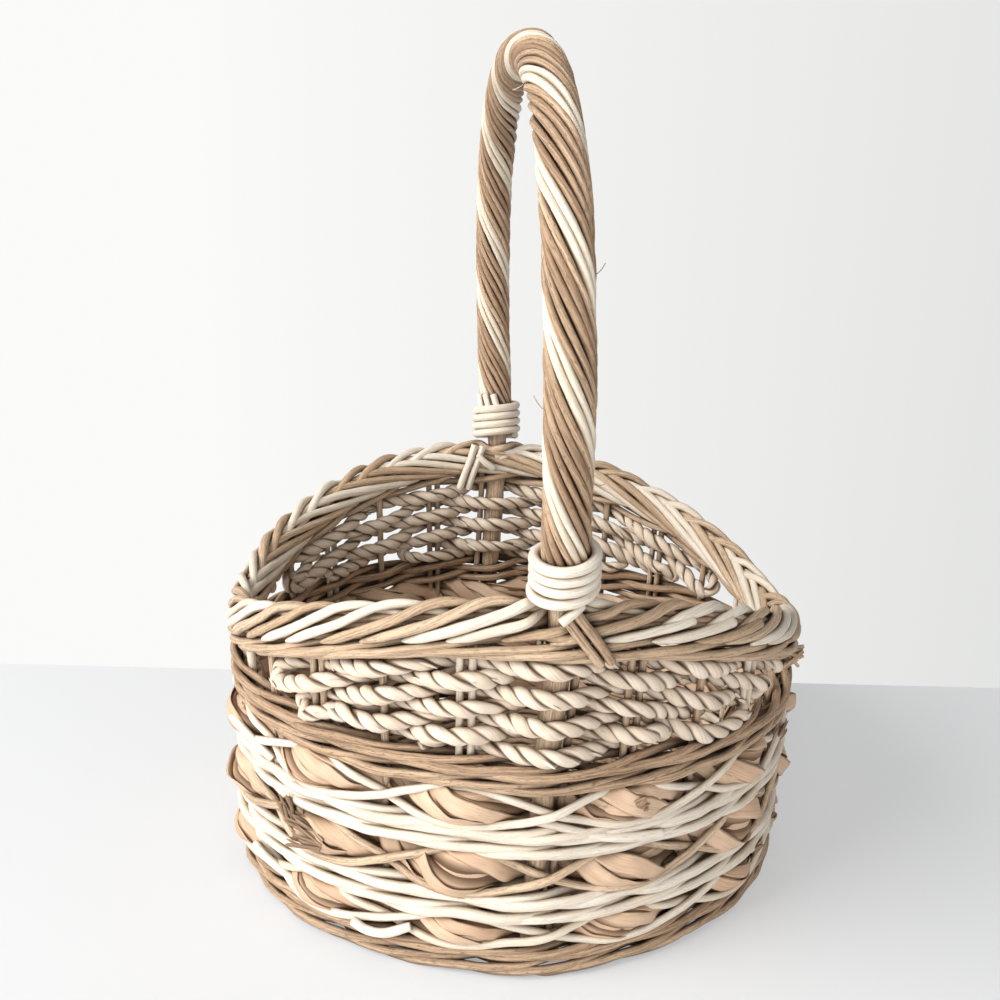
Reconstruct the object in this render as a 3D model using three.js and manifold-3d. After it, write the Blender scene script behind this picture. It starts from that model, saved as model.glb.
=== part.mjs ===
// An oval woven basket with a fixed bow handle, in millimetres, +Z up.
// The origin is on the ground under the middle of the basket, X along its long axis.
// Every piece is a separate solid: stakes stand in the base, weavers pass round them in turn.
import * as THREE from "three";
import { mergeVertices } from "three/addons/utils/BufferGeometryUtils.js";
import Module from "manifold-3d";

// Plan and heights of the wall, measured at the centre line of the stakes.
const footHalfLength = 153.7;
const footHalfWidth = 132.8;
const rimFlare = 7;
const rimMiddleTop = 207;
const rimEndTop = 154.5;

// Stakes and the clearance that touching pieces keep.
const stakeDiameter = 4.2;
const stakeCount = 24;
const seatGap = 0.3;
const bandGap = 0.4;

// Rods of the walings, which are oval where they are packed down.
const walingRodHeight = 4.1;
const walingRodDepth = 4.6;
const footFirstGap = 0.9;
const walingRoundCount = 4;
const rimWalingRoundCount = 2;

// Flat ropes of twisted leaf, and the thin rods that cross over them.
const leafRopeDepth = 9;
const lowerLeafHeight = 13.5;
const middleLeafHeight = 20.5;
const upperLeafHeight = 17.5;
const fitchDiameter = 3.8;
const fitchStandOff = 2.6;

// Seagrass rope that packs the front and the back below the rim.
const seagrassDiameter = 8.4;
const seagrassLoopSlack = 1.2;

// Border of paired rods on the rim.
const borderStrandDiameter = 7.4;
const borderTwistRadius = 4.6;
const borderBowDetour = 11;
const borderEndGap = 2;

// Woven base with its sticks.
const baseThickness = 9.5;
const baseStickDiameter = 3.6;
const baseStickSpacing = 38;
const longStickEndGap = 15.5;
const crossStickInset = 24.6;
const stakeFootLength = 25;

// Handle: a round bow, the rods laid round it and the collars that bind them.
const bowDiameter = 12;
const bowFootHeight = 6;
const bowPairGap = 0.6;
const handleDiameter = 23;
const handleTop = 461;
const handleLean = 10;
const shoulderReach = 175;
const shoulderHeight = 350;
const crownReach = 144;
const handleRodGroove = 1.2;
const handleRodSeat = 1.2;
const handleTwistPitch = 125;
const collarRodDiameter = 4.6;
const collarTurnGap = 0.6;
const collarSeat = 0.35;
const collarRimGap = 4.4;
const collarTurns = 4.75;

// Cut ends of the lashing that show below the collars.
const lashingRodDiameter = 4.4;
const lashingLength = 27;
const lashingSpacing = 5.6;
const lashingSide = 11;
const lashingRun = 13;
const lashingTuck = 3.4;
const lashingDrop = 4.5;
const frontLashingStandOffs = [13.5, 11.5];
const backLashingStandOffs = [15.5, 14];

// Shares, powers and counts that shape the curves.
const flarePower = 2;
const rimProfilePower = 1.5;
const leafEdgeShare = 0.5;
const bendAllowanceShare = 1.17;
const roundingShare = 1e-6;
const climbStakes = 2;
const seamStake = 15;
const walingStrokeCount = 3;
const stakesPerCream = 4;
const longSticks = 3;
const crossSticks = 5;
const seagrassRows = 5;
const seagrassEndRows = 3;
const seagrassFullStakes = 2;
const creamRodsPerGroup = 2;
const brownRodsPerGroup = 5;
const overrun = 5;

// Facets and steps of the curved solids.
const stakeSides = 5;
const borderSides = 5;
const rodSides = 6;
const bowSides = 8;
const wallSteps = 3;
const loopSteps = 4;
const borderStepsPerStake = 3;
const strandSteps = 38;
const collarStepsPerTurn = 20;

// Worked out from the sizes above.
const fullTurn = 2 * Math.PI;
const stakeStep = fullTurn / stakeCount;
const frontAngle = -Math.PI / 2;
const backStake = stakeCount / 2;
const stakeRadius = stakeDiameter / 2;
const bowRadius = bowDiameter / 2;
const walingPitch = walingRodHeight + seatGap;
const walingHeight = walingRoundCount * walingPitch - seatGap;
const rimWalingHeight = rimWalingRoundCount * walingPitch - seatGap;
const borderRadius = borderTwistRadius + borderStrandDiameter / 2;
const partnerAngle = (bowRadius + stakeRadius + bowPairGap) / footHalfLength;
const stakeFootZ = stakeRadius + footFirstGap / 4;

// Bottom of each band of the wall, stacked upwards from the ground.
const footWalingTop = walingHeight + footFirstGap - seatGap;
const lowerLeafBottom = footWalingTop + bandGap;
const lowerCreamBottom = lowerLeafBottom + lowerLeafHeight + bandGap;
const middleLeafBottom = lowerCreamBottom + walingHeight + bandGap;
const upperCreamBottom = middleLeafBottom + middleLeafHeight + bandGap;
const upperLeafBottom = upperCreamBottom + walingHeight + bandGap;
const darkWalingBottom = upperLeafBottom + upperLeafHeight + bandGap;
const darkWalingTop = darkWalingBottom + walingHeight;

const finishes = {
  cream: new THREE.MeshStandardMaterial({ color: 0xe3d6bb, roughness: 0.62, metalness: 0 }),
  tan: new THREE.MeshStandardMaterial({ color: 0xb99a74, roughness: 0.68, metalness: 0 }),
  brown: new THREE.MeshStandardMaterial({ color: 0x94775a, roughness: 0.7, metalness: 0 }),
  leaf: new THREE.MeshStandardMaterial({ color: 0xc19d76, roughness: 0.8, metalness: 0 }),
  seagrass: new THREE.MeshStandardMaterial({ color: 0xd0b78d, roughness: 0.8, metalness: 0 }),
};

// Solids

const wasm = await Module();
wasm.setup();

// A three.js geometry as a solid that can be cut.
function toSolid(geometry) {
  const bare = geometry.index ? geometry.toNonIndexed() : geometry.clone();
  bare.deleteAttribute("normal");
  bare.deleteAttribute("uv");
  const merged = mergeVertices(bare);
  return new wasm.Manifold(
    new wasm.Mesh({
      numProp: 3,
      vertProperties: new Float32Array(merged.attributes.position.array),
      triVerts: new Uint32Array(merged.index.array),
    }),
  );
}

// A cut solid as a three.js geometry.
function toGeometry(solid) {
  const mesh = solid.getMesh();
  const geometry = new THREE.BufferGeometry();
  geometry.setAttribute("position", new THREE.BufferAttribute(mesh.vertProperties, mesh.numProp));
  geometry.setIndex(new THREE.BufferAttribute(mesh.triVerts, 1));
  geometry.computeVertexNormals();
  return geometry;
}

// A line of straight runs through given points, sampled at the points themselves.
class RodPath extends THREE.Curve {
  constructor(points) {
    super();
    this.points = points;
  }

  getPoint(t, target = new THREE.Vector3()) {
    const last = this.points.length - 1;
    const i = Math.min(Math.floor(t * last), last - 1);
    return target.lerpVectors(this.points[i], this.points[i + 1], t * last - i);
  }

  getUtoTmapping(u) {
    return u;
  }
}

// The section of a round rod, as a polygon with flat faces up and down.
function roundSection(diameter, sides) {
  const points = [];
  for (let i = 0; i < sides; i += 1) {
    const angle = (fullTurn * (i + 0.5)) / sides;
    points.push(new THREE.Vector2(Math.cos(angle), Math.sin(angle)).multiplyScalar(diameter / 2));
  }
  return new THREE.Shape(points);
}

// The section of a packed rod: its height first, then its depth through the wall.
function packedSection(height, depth) {
  const [h, d] = [height / 2, depth / 2];
  return new THREE.Shape([
    new THREE.Vector2(-h, -d),
    new THREE.Vector2(h, -d),
    new THREE.Vector2(h, d),
    new THREE.Vector2(-h, d),
  ]);
}

// The section of a flat rope, narrower at its upper and lower edges.
function flatRopeSection(height, depth) {
  const [h, d] = [height / 2, depth / 2];
  const edge = d * leafEdgeShare;
  return new THREE.Shape([
    new THREE.Vector2(-h, -edge),
    new THREE.Vector2(0, -d),
    new THREE.Vector2(h, -edge),
    new THREE.Vector2(h, edge),
    new THREE.Vector2(0, d),
    new THREE.Vector2(-h, edge),
  ]);
}

// A section carried along a line of points, closed at both ends.
function sweep(section, points) {
  return new THREE.ExtrudeGeometry(section, {
    steps: points.length - 1,
    extrudePath: new RodPath(points),
    bevelEnabled: false,
  });
}

const basket = new THREE.Group();

function addPiece(name, geometry, finish, parent = basket) {
  const mesh = new THREE.Mesh(geometry, finish.clone());
  mesh.name = name;
  parent.add(mesh);
  return mesh;
}

// The wall's shape

// A point at a plan angle and a height, moved outwards from the centre line of the stakes.
function wallPoint(angle, z, out = 0) {
  const flare = rimFlare * (z / rimMiddleTop) ** flarePower;
  const a = footHalfLength + flare;
  const b = footHalfWidth + flare;
  const normal = new THREE.Vector3(b * Math.cos(angle), a * Math.sin(angle), 0).normalize();
  return new THREE.Vector3(a * Math.cos(angle), b * Math.sin(angle), z).addScaledVector(normal, out);
}

// Height of the rim's top, highest at the handle and lowest at the two ends.
// It runs straight from one stake to the next.
function rimTopAt(angle) {
  const place = (angle - frontAngle) / stakeStep;
  const before = Math.floor(place + roundingShare);
  const riseAt = (k) => Math.abs(Math.cos(k * stakeStep)) ** rimProfilePower;
  const rise = THREE.MathUtils.lerp(riseAt(before), riseAt(before + 1), place - before);
  return rimEndTop + (rimMiddleTop - rimEndTop) * rise;
}

function borderCentreAt(angle) {
  return rimTopAt(angle) - borderRadius;
}

function rimWalingBottomAt(angle) {
  return rimTopAt(angle) - 2 * borderRadius - bandGap - rimWalingHeight;
}

function stakeAngle(k) {
  return frontAngle + k * stakeStep;
}

function isBowStake(k) {
  const place = ((k % stakeCount) + stakeCount) % stakeCount;
  return place === 0 || place === backStake;
}

// How far a weaver's centre line stands off the stakes where it bends round one.
function passOffset(k, depth) {
  const radius = isBowStake(k) ? bowRadius : stakeRadius;
  return (radius + seatGap + depth / 2) * bendAllowanceShare;
}

// Plan angles at which a weaver bends for stake k: one, or two at a bow and its partner.
function bendAngles(k) {
  const angle = stakeAngle(k);
  return isBowStake(k) ? [angle, angle + partnerAngle] : [angle];
}

// Stakes

function stakePoints(angle) {
  const bend = stakeRadius;
  const inner = -(passOffset(1, walingRodDepth) + walingRodDepth / 2 + bandGap + stakeFootLength);
  const top = rimWalingBottomAt(angle) + rimWalingHeight;
  const first = stakeFootZ + bend;
  const points = [wallPoint(angle, stakeFootZ, inner), wallPoint(angle, stakeFootZ, -bend)];
  for (let i = 0; i <= wallSteps; i += 1) {
    points.push(wallPoint(angle, first + ((top - first) * i) / wallSteps));
  }
  return points;
}

function addStakes() {
  for (let k = 0; k < stakeCount; k += 1) {
    const angle = isBowStake(k) ? stakeAngle(k) + partnerAngle : stakeAngle(k);
    const name = "stake_" + String(k + 1).padStart(2, "0");
    const finish = (k + 1) % stakesPerCream === 0 ? finishes.cream : finishes.tan;
    addPiece(name, sweep(roundSection(stakeDiameter, stakeSides), stakePoints(angle)), finish);
  }
}

// Base

function addBase() {
  const edge = passOffset(1, walingRodDepth) + walingRodDepth / 2 + bandGap;
  const longStickLength = 2 * (footHalfLength - edge - stakeFootLength - longStickEndGap);
  const crossStickLength = 2 * (footHalfWidth - edge - crossStickInset);
  const outline = new THREE.Shape();
  outline.absellipse(0, 0, footHalfLength - edge, footHalfWidth - edge, 0, fullTurn);
  const plate = new THREE.ExtrudeGeometry(outline, {
    depth: baseThickness,
    bevelEnabled: false,
    curveSegments: 2 * stakeCount,
  });
  let mat = toSolid(plate);

  // Grooves under the edge for the feet of the stakes.
  const grooveTop = stakeFootZ + stakeRadius + seatGap;
  for (let k = 0; k < stakeCount; k += 1) {
    const angle = isBowStake(k) ? stakeAngle(k) + partnerAngle : stakeAngle(k);
    const outer = wallPoint(angle, 0, 0);
    const inner = wallPoint(angle, 0, -(edge + stakeFootLength + seatGap));
    const length = outer.distanceTo(inner);
    const groove = new THREE.BoxGeometry(length, stakeDiameter + 2 * seatGap, grooveTop + overrun);
    groove.rotateZ(Math.atan2(outer.y - inner.y, outer.x - inner.x));
    groove.translate((outer.x + inner.x) / 2, (outer.y + inner.y) / 2, (grooveTop - overrun) / 2);
    mat = mat.subtract(toSolid(groove));
  }

  // Sticks lie flush in grooves: the long ones below, the cross ones above.
  const stickGroove = baseStickDiameter + 2 * seatGap;
  const depth = baseStickDiameter + seatGap;
  const stick = (length) => {
    const radius = baseStickDiameter / 2;
    return new THREE.CylinderGeometry(radius, radius, length, rodSides).rotateY(Math.PI / rodSides);
  };
  for (let i = 0; i < longSticks; i += 1) {
    const y = (i - (longSticks - 1) / 2) * baseStickSpacing;
    const groove = new THREE.BoxGeometry(longStickLength + 2 * seatGap, stickGroove, depth + overrun);
    groove.translate(0, y, (depth - overrun) / 2);
    mat = mat.subtract(toSolid(groove));
    const rod = stick(longStickLength).rotateZ(Math.PI / 2);
    rod.translate(0, y, baseStickDiameter / 2);
    addPiece("base_long_stick_" + (i + 1), rod, finishes.brown);
  }
  for (let i = 0; i < crossSticks; i += 1) {
    const x = (i - (crossSticks - 1) / 2) * baseStickSpacing;
    const groove = new THREE.BoxGeometry(stickGroove, crossStickLength + 2 * seatGap, depth + overrun);
    groove.translate(x, 0, baseThickness - (depth - overrun) / 2);
    mat = mat.subtract(toSolid(groove));
    const rod = stick(crossStickLength);
    rod.translate(x, 0, baseThickness - baseStickDiameter / 2);
    addPiece("base_cross_stick_" + (i + 1), rod, finishes.brown);
  }
  addPiece("base_mat", toGeometry(mat), finishes.tan);
}

// Walings: one rod wound several rounds, outside two stakes and inside the third.

function walingPoints(bottomAt, rounds, firstRoundOutside) {
  const points = [];
  const count = rounds * stakeCount - climbStakes;
  for (let n = 0; n <= count; n += 1) {
    const round = Math.floor(n / stakeCount);
    const climb = Math.max(0, (n % stakeCount) - (stakeCount - climbStakes)) / climbStakes;
    const k = seamStake + n;
    const inside = (k + round) % walingStrokeCount === 0 && !(firstRoundOutside && round === 0);
    const extra = firstRoundOutside ? Math.min(round + climb, 1) * (footFirstGap - seatGap) : 0;
    for (const angle of bendAngles(k)) {
      const z = bottomAt(angle) + walingRodHeight / 2 + (round + climb) * walingPitch + extra;
      const out = passOffset(k, walingRodDepth);
      points.push(wallPoint(angle, z, inside ? -out : out));
    }
  }
  return points;
}

function addWaling(name, bottomAt, rounds, finish, firstRoundOutside = false) {
  const section = packedSection(walingRodHeight, walingRodDepth);
  addPiece(name, sweep(section, walingPoints(bottomAt, rounds, firstRoundOutside)), finish);
}

// Leaf ropes: one round each, outside the odd stakes and inside the even ones.

function addLeafRope(name, bottom, height, finish) {
  const points = [];
  const depth = leafRopeDepth;
  for (let n = 0; n <= stakeCount; n += 1) {
    const k = seamStake + n;
    const side = k % 2 === 1 ? 1 : -1;
    for (const angle of bendAngles(k)) {
      points.push(wallPoint(angle, bottom + height / 2, side * passOffset(k, depth)));
    }
  }
  // The two ends butt together at the seam with a small gap.
  const last = points.pop();
  const run = last.clone().sub(points[points.length - 1]);
  points.push(last.addScaledVector(run.normalize(), -borderEndGap));
  addPiece(name, sweep(flatRopeSection(height, depth), points), finish);
}

// Fitching rods: each goes round twice in zigzags that cross at the even stakes.

function addFitching(name, bottom, height, finish) {
  const middle = bottom + height / 2;
  const reach = height / 2 + bandGap + fitchDiameter / 2;
  const overWaling = (k) => passOffset(k, walingRodDepth) + walingRodDepth / 2 + seatGap;
  const oddOut = overWaling(1) + fitchDiameter / 2 + fitchStandOff;
  const points = [];
  for (let n = 1; n < 2 * stakeCount; n += 1) {
    const phase = n < stakeCount ? 1 : -1;
    const k = backStake + n;
    if (k % 2 === 1) {
      const turn = ((k - 1) / 2) % 2 === 0 ? 1 : -1;
      points.push(wallPoint(stakeAngle(k), middle + phase * turn * reach, oddOut));
    } else {
      const track = phase > 0 ? 0 : fitchDiameter + seatGap;
      for (const angle of bendAngles(k)) {
        points.push(wallPoint(angle, middle, overWaling(k) + track));
      }
    }
  }
  addPiece(name, sweep(packedSection(fitchDiameter, fitchDiameter), points), finish);
}

// Seagrass packing: one rope that turns back round a stake at the end of each row.

const seagrassTurns = [
  { from: 1.35, to: -2 },
  { from: -2, to: 2 },
  { from: 2, to: -3 },
  { from: -3, to: 3 },
  { from: 3, to: -3.4 },
];

// Height of a row of rope, counted up from the lowest, at a place k along the packing.
function seagrassZ(row, k, middleStake) {
  const angle = stakeAngle(middleStake + k);
  const fromTop = seagrassRows - 1 - row;
  const low = darkWalingTop + bandGap + seagrassDiameter / 2;
  const high = rimWalingBottomAt(angle) - bandGap - seagrassDiameter / 2;
  const rowsHere = Math.abs(k) > seagrassFullStakes ? seagrassEndRows : seagrassRows;
  return high - (fromTop * (high - low)) / (rowsHere - 1);
}

function seagrassPoints(middleStake) {
  const points = [];
  const loop = stakeRadius + seagrassDiameter / 2 + seagrassLoopSlack;
  seagrassTurns.forEach(({ from, to }, row) => {
    const step = Math.sign(to - from);
    const first = Number.isInteger(from) ? from + step : Math.ceil(from * step) * step;
    if (!Number.isInteger(from)) {
      const angle = stakeAngle(middleStake + from);
      points.push(wallPoint(angle, seagrassZ(row, from, middleStake)));
    }
    for (let k = first; (to - k) * step > 0; k += step) {
      const side = (k + row) % 2 === 0 ? 1 : -1;
      const angles = bendAngles(middleStake + k);
      for (const angle of step > 0 ? angles : angles.reverse()) {
        const out = passOffset(middleStake + k, seagrassDiameter);
        points.push(wallPoint(angle, seagrassZ(row, k, middleStake), side * out));
      }
    }
    if (!Number.isInteger(to)) {
      const angle = stakeAngle(middleStake + to);
      points.push(wallPoint(angle, seagrassZ(row, to, middleStake)));
      return;
    }
    // The half loop round the stake, up into the next row.
    const side = (to + row) % 2 === 0 ? 1 : -1;
    const angle = stakeAngle(middleStake + to);
    const low = seagrassZ(row, to, middleStake);
    const high = seagrassZ(row + 1, to, middleStake);
    const along = wallPoint(angle, 0, 0).distanceTo(wallPoint(angle + partnerAngle, 0, 0)) / partnerAngle;
    for (let i = 0; i <= loopSteps; i += 1) {
      const turn = (Math.PI * i) / loopSteps;
      const beyond = (loop * Math.sin(turn) * step) / along;
      const z = low + ((high - low) * i) / loopSteps;
      points.push(wallPoint(angle + beyond, z, side * loop * Math.cos(turn)));
    }
  });
  return points;
}

// Border: two strands of paired rods twisted round each other, parting at the bow.

function borderPoints(phase) {
  const points = [];
  const total = stakeCount * borderStepsPerStake;
  for (let n = 0; n <= total; n += 1) {
    const share = n === total ? borderEndGap / (footHalfLength * stakeStep) : 0;
    const k = seamStake + 0.5 + n / borderStepsPerStake - share;
    const nearBow = [0, backStake, stakeCount, stakeCount + backStake].some((b) => Math.abs(k - b) < 0.5);
    const turn = Math.PI * k + phase;
    const reach = nearBow ? borderBowDetour : borderTwistRadius;
    const angle = stakeAngle(k);
    const z = borderCentreAt(angle) + borderTwistRadius * Math.sin(turn);
    points.push(wallPoint(angle, z, reach * Math.cos(turn)));
  }
  return points;
}

// Handle

// The arch above the rim, from the front to the back, leaning a little to the left.
function archCurve() {
  const rim = wallPoint(frontAngle, rimMiddleTop);
  const crownZ = handleTop - handleDiameter / 2;
  const leaning = (y, z) => new THREE.Vector3((-handleLean * (z - rim.z)) / (crownZ - rim.z), y, z);
  const half = (side) =>
    new THREE.CubicBezierCurve3(
      leaning(side * rim.y, rim.z),
      leaning(-side * shoulderReach, shoulderHeight),
      leaning(-side * crownReach, crownZ),
      leaning(0, crownZ),
    );
  const front = half(1);
  const back = half(-1);
  const path = new THREE.CurvePath();
  path.add(front);
  path.add(new THREE.CubicBezierCurve3(back.v3, back.v2, back.v1, back.v0));
  return path;
}

const arch = archCurve();
const archLength = arch.getLength();
const acrossX = new THREE.Vector3(1, 0, 0);

// A point round the handle's centre line: a length along it, a radius and an angle.
function handlePoint(along, radius, angle) {
  const share = THREE.MathUtils.clamp(along / archLength, 0, 1);
  const centre = arch.getPointAt(share);
  const tangent = arch.getTangentAt(share);
  const inward = new THREE.Vector3().crossVectors(tangent, acrossX).normalize();
  const across = new THREE.Vector3().crossVectors(inward, tangent);
  return centre
    .addScaledVector(tangent, along - share * archLength)
    .addScaledVector(across, radius * Math.cos(angle))
    .addScaledVector(inward, radius * Math.sin(angle));
}

const collarStart = collarRimGap + collarRodDiameter / 2;
const collarPitch = collarRodDiameter + collarTurnGap;
const strandStart = collarStart;
const strandEnd = archLength - strandStart;

function alongStrands(i) {
  return strandStart + ((strandEnd - strandStart) * i) / strandSteps;
}

function bowPoints() {
  const leg = (angle) => {
    const points = [];
    for (let i = 0; i < wallSteps; i += 1) {
      points.push(wallPoint(angle, bowFootHeight + ((rimMiddleTop - bowFootHeight) * i) / wallSteps));
    }
    return points;
  };
  const points = leg(frontAngle);
  points.push(handlePoint(0, 0, 0));
  for (let i = 0; i <= strandSteps; i += 1) {
    points.push(handlePoint(alongStrands(i), 0, 0));
  }
  points.push(handlePoint(archLength, 0, 0));
  return points.concat(leg(-frontAngle).reverse());
}

// The section of a group of rods laid side by side on the bow: radius and angle of each corner.
function rodGroupSection(startAngle, rodCount, rodAngle) {
  const outer = handleDiameter / 2;
  const inner = bowRadius + handleRodSeat;
  const valley = outer - handleRodGroove;
  const edge = seatGap / inner;
  const section = [];
  const last = startAngle + rodCount * rodAngle;
  section.push([inner, startAngle + edge], [valley, startAngle + edge]);
  for (let rod = 0; rod < rodCount; rod += 1) {
    section.push([outer, startAngle + (rod + 0.5) * rodAngle]);
    if (rod < rodCount - 1) {
      section.push([valley, startAngle + (rod + 1) * rodAngle]);
    }
  }
  section.push([valley, last - edge], [inner, last - edge]);
  const innerSteps = Math.ceil(rodCount / 2);
  for (let i = innerSteps - 1; i > 0; i -= 1) {
    section.push([inner, startAngle + (rodCount * rodAngle * i) / innerSteps]);
  }
  return section;
}

// A section of radii and angles skinned along its rings, closed by a lid at each end.
// Faces between neighbouring groups are split from inside to outside, the rest the short way.
function skin(section, rings) {
  const corners = section.length;
  const flat = rings.flat();
  const index = [];
  for (let r = 0; r < rings.length - 1; r += 1) {
    for (let c = 0; c < corners; c += 1) {
      const next = (c + 1) % corners;
      const a = r * corners + c;
      const b = r * corners + next;
      const between = section[c][1] === section[next][1];
      const shorter = flat[a].distanceTo(flat[b + corners]) < flat[b].distanceTo(flat[a + corners]);
      const straight = between ? section[c][0] < section[next][0] : shorter;
      if (straight) {
        index.push(a, b, b + corners, a, b + corners, a + corners);
      } else {
        index.push(a, b, a + corners, b, b + corners, a + corners);
      }
    }
  }
  const lid = section.map(([radius, angle]) => {
    return new THREE.Vector2(radius * Math.cos(angle), radius * Math.sin(angle));
  });
  const last = (rings.length - 1) * corners;
  for (const [a, b, c] of THREE.ShapeUtils.triangulateShape(lid, [])) {
    index.push(a, c, b, last + a, last + b, last + c);
  }
  const geometry = new THREE.BufferGeometry().setFromPoints(flat);
  geometry.setIndex(index);
  geometry.computeVertexNormals();
  return geometry;
}

function addRodGroup(name, startAngle, rodCount, rodAngle, finish) {
  const section = rodGroupSection(startAngle, rodCount, rodAngle);
  const rings = [];
  for (let i = 0; i <= strandSteps; i += 1) {
    const along = alongStrands(i);
    const twist = (-fullTurn * along) / handleTwistPitch;
    rings.push(section.map(([radius, angle]) => handlePoint(along, radius, angle + twist)));
  }
  addPiece(name, skin(section, rings), finish);
}

function addHandleRods() {
  const rodAngle = Math.PI / (creamRodsPerGroup + brownRodsPerGroup);
  for (const [i, letter] of ["a", "b"].entries()) {
    const start = i * Math.PI;
    addRodGroup("handle_cream_rods_" + letter, start, creamRodsPerGroup, rodAngle, finishes.cream);
    const next = start + creamRodsPerGroup * rodAngle;
    addRodGroup("handle_brown_rods_" + letter, next, brownRodsPerGroup, rodAngle, finishes.brown);
  }
}

// A collar: one rod wound round the handle, with straight ends one rod thick.
function addCollar(name, atBack) {
  const radius = handleDiameter / 2 + collarSeat + collarRodDiameter / 2;
  const count = Math.round(collarTurns * collarStepsPerTurn);
  const points = [];
  for (let i = 0; i <= count; i += 1) {
    const turned = i / collarStepsPerTurn;
    const along = collarStart + turned * collarPitch;
    const angle = frontAngle + turned * fullTurn;
    points.push(handlePoint(atBack ? archLength - along : along, radius, atBack ? -angle : angle));
  }
  reportSelfGap(name, points);
  const straight = (end, before) => {
    const run = end.clone().sub(before).normalize();
    return end.clone().addScaledVector(run, collarRodDiameter);
  };
  points.unshift(straight(points[0], points[1]));
  points.push(straight(points[points.length - 1], points[points.length - 2]));
  addPiece(name, sweep(roundSection(collarRodDiameter, rodSides), points), finishes.cream);
}

// Prints the least gap between neighbouring turns, measured on the points of the centre line.
function reportSelfGap(name, points) {
  const apart = collarStepsPerTurn / 2;
  let least = Infinity;
  for (let i = 0; i < points.length; i += 1) {
    for (let j = i + apart; j < points.length; j += 1) {
      least = Math.min(least, points[i].distanceTo(points[j]));
    }
  }
  console.log(name + ": least gap to itself " + (least - collarRodDiameter).toFixed(2) + " mm");
}

// Cut ends of lashing rods: outside the wall at the front, inside it at the back.
function addLashing(name, middleAngle, standOffs, finish) {
  const wall = wallPoint(middleAngle, rimMiddleTop);
  const right = new THREE.Vector3(-Math.sin(middleAngle), 0, 0);
  const drop = Math.sqrt(lashingLength ** 2 - lashingRun ** 2);
  standOffs.forEach((standOff, i) => {
    const start = new THREE.Vector3(0, wall.y - standOff, rimMiddleTop - lashingDrop)
      .addScaledVector(right, lashingSide + i * lashingSpacing);
    const end = new THREE.Vector3(start.x, start.y + lashingTuck, start.z - drop)
      .addScaledVector(right, lashingRun);
    const section = roundSection(lashingRodDiameter, rodSides);
    addPiece(name + "_" + (i + 1), sweep(section, [start, end]), finish);
  });
}

// The whole basket

addBase();
addStakes();
addWaling("foot_waling", () => 0, walingRoundCount, finishes.brown, true);
addLeafRope("lower_leaf_rope", lowerLeafBottom, lowerLeafHeight, finishes.leaf);
addFitching("lower_fitching_rod", lowerLeafBottom, lowerLeafHeight, finishes.cream);
addWaling("lower_cream_waling", () => lowerCreamBottom, walingRoundCount, finishes.cream);
addLeafRope("middle_leaf_rope", middleLeafBottom, middleLeafHeight, finishes.leaf);
addFitching("middle_fitching_rod", middleLeafBottom, middleLeafHeight, finishes.tan);
addWaling("upper_cream_waling", () => upperCreamBottom, walingRoundCount, finishes.cream);
addLeafRope("upper_leaf_rope", upperLeafBottom, upperLeafHeight, finishes.leaf);
addFitching("upper_fitching_rod", upperLeafBottom, upperLeafHeight, finishes.cream);
addWaling("dark_waling", () => darkWalingBottom, walingRoundCount, finishes.brown);
addWaling("rim_waling", rimWalingBottomAt, rimWalingRoundCount, finishes.tan);
const ropeSection = roundSection(seagrassDiameter, rodSides);
addPiece("front_seagrass_rope", sweep(ropeSection, seagrassPoints(0)), finishes.seagrass);
addPiece("back_seagrass_rope", sweep(ropeSection, seagrassPoints(backStake)), finishes.seagrass);
const strandSection = roundSection(borderStrandDiameter, borderSides);
addPiece("border_cream_rods", sweep(strandSection, borderPoints(0)), finishes.cream);
addPiece("border_tan_rods", sweep(strandSection, borderPoints(Math.PI)), finishes.tan);
addPiece("handle_bow", sweep(roundSection(bowDiameter, bowSides), bowPoints()), finishes.tan);
addHandleRods();
addCollar("front_collar", false);
addCollar("back_collar", true);
addLashing("front_lashing_rod", frontAngle, frontLashingStandOffs, finishes.brown);
addLashing("back_lashing_rod", -frontAngle, backLashingStandOffs, finishes.cream);

export default basket;
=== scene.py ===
"""An oval willow basket with a fixed bow handle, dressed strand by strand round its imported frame.

Every strand of the weave is a rod, a flat leaf or a twisted rope swept along its own path.
Paths are worked out in millimetres on the wall's shape, and meshes are written in metres.
"""

import math
import random

import bpy
import numpy as np
from mathutils import Matrix, Vector


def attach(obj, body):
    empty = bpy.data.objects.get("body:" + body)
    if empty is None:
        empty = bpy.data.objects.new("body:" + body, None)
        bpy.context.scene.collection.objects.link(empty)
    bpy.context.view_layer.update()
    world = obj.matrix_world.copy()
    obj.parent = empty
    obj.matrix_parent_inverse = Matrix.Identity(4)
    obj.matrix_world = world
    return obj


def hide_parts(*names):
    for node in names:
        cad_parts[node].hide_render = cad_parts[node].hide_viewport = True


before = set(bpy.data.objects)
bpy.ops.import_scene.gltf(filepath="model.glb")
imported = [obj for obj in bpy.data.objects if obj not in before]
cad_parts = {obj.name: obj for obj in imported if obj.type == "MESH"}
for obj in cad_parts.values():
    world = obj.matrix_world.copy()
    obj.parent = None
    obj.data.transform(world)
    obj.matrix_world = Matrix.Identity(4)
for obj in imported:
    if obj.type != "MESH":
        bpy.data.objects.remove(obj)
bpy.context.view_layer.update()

MM = 0.001
FULL_TURN = 2 * math.pi
UP = np.array([0, 0, 1])

# The wall, as the frame has it.
FOOT_HALF_LENGTH = 153.7
FOOT_HALF_WIDTH = 132.8
RIM_FLARE = 7
RIM_MIDDLE_TOP = 207
RIM_END_TOP = 154.5
RIM_PROFILE_POWER = 1.5
STAKES = 24
FRONT = -math.pi / 2
STAKE_STEP = FULL_TURN / STAKES
BACK_STAKE = STAKES // 2

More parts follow.
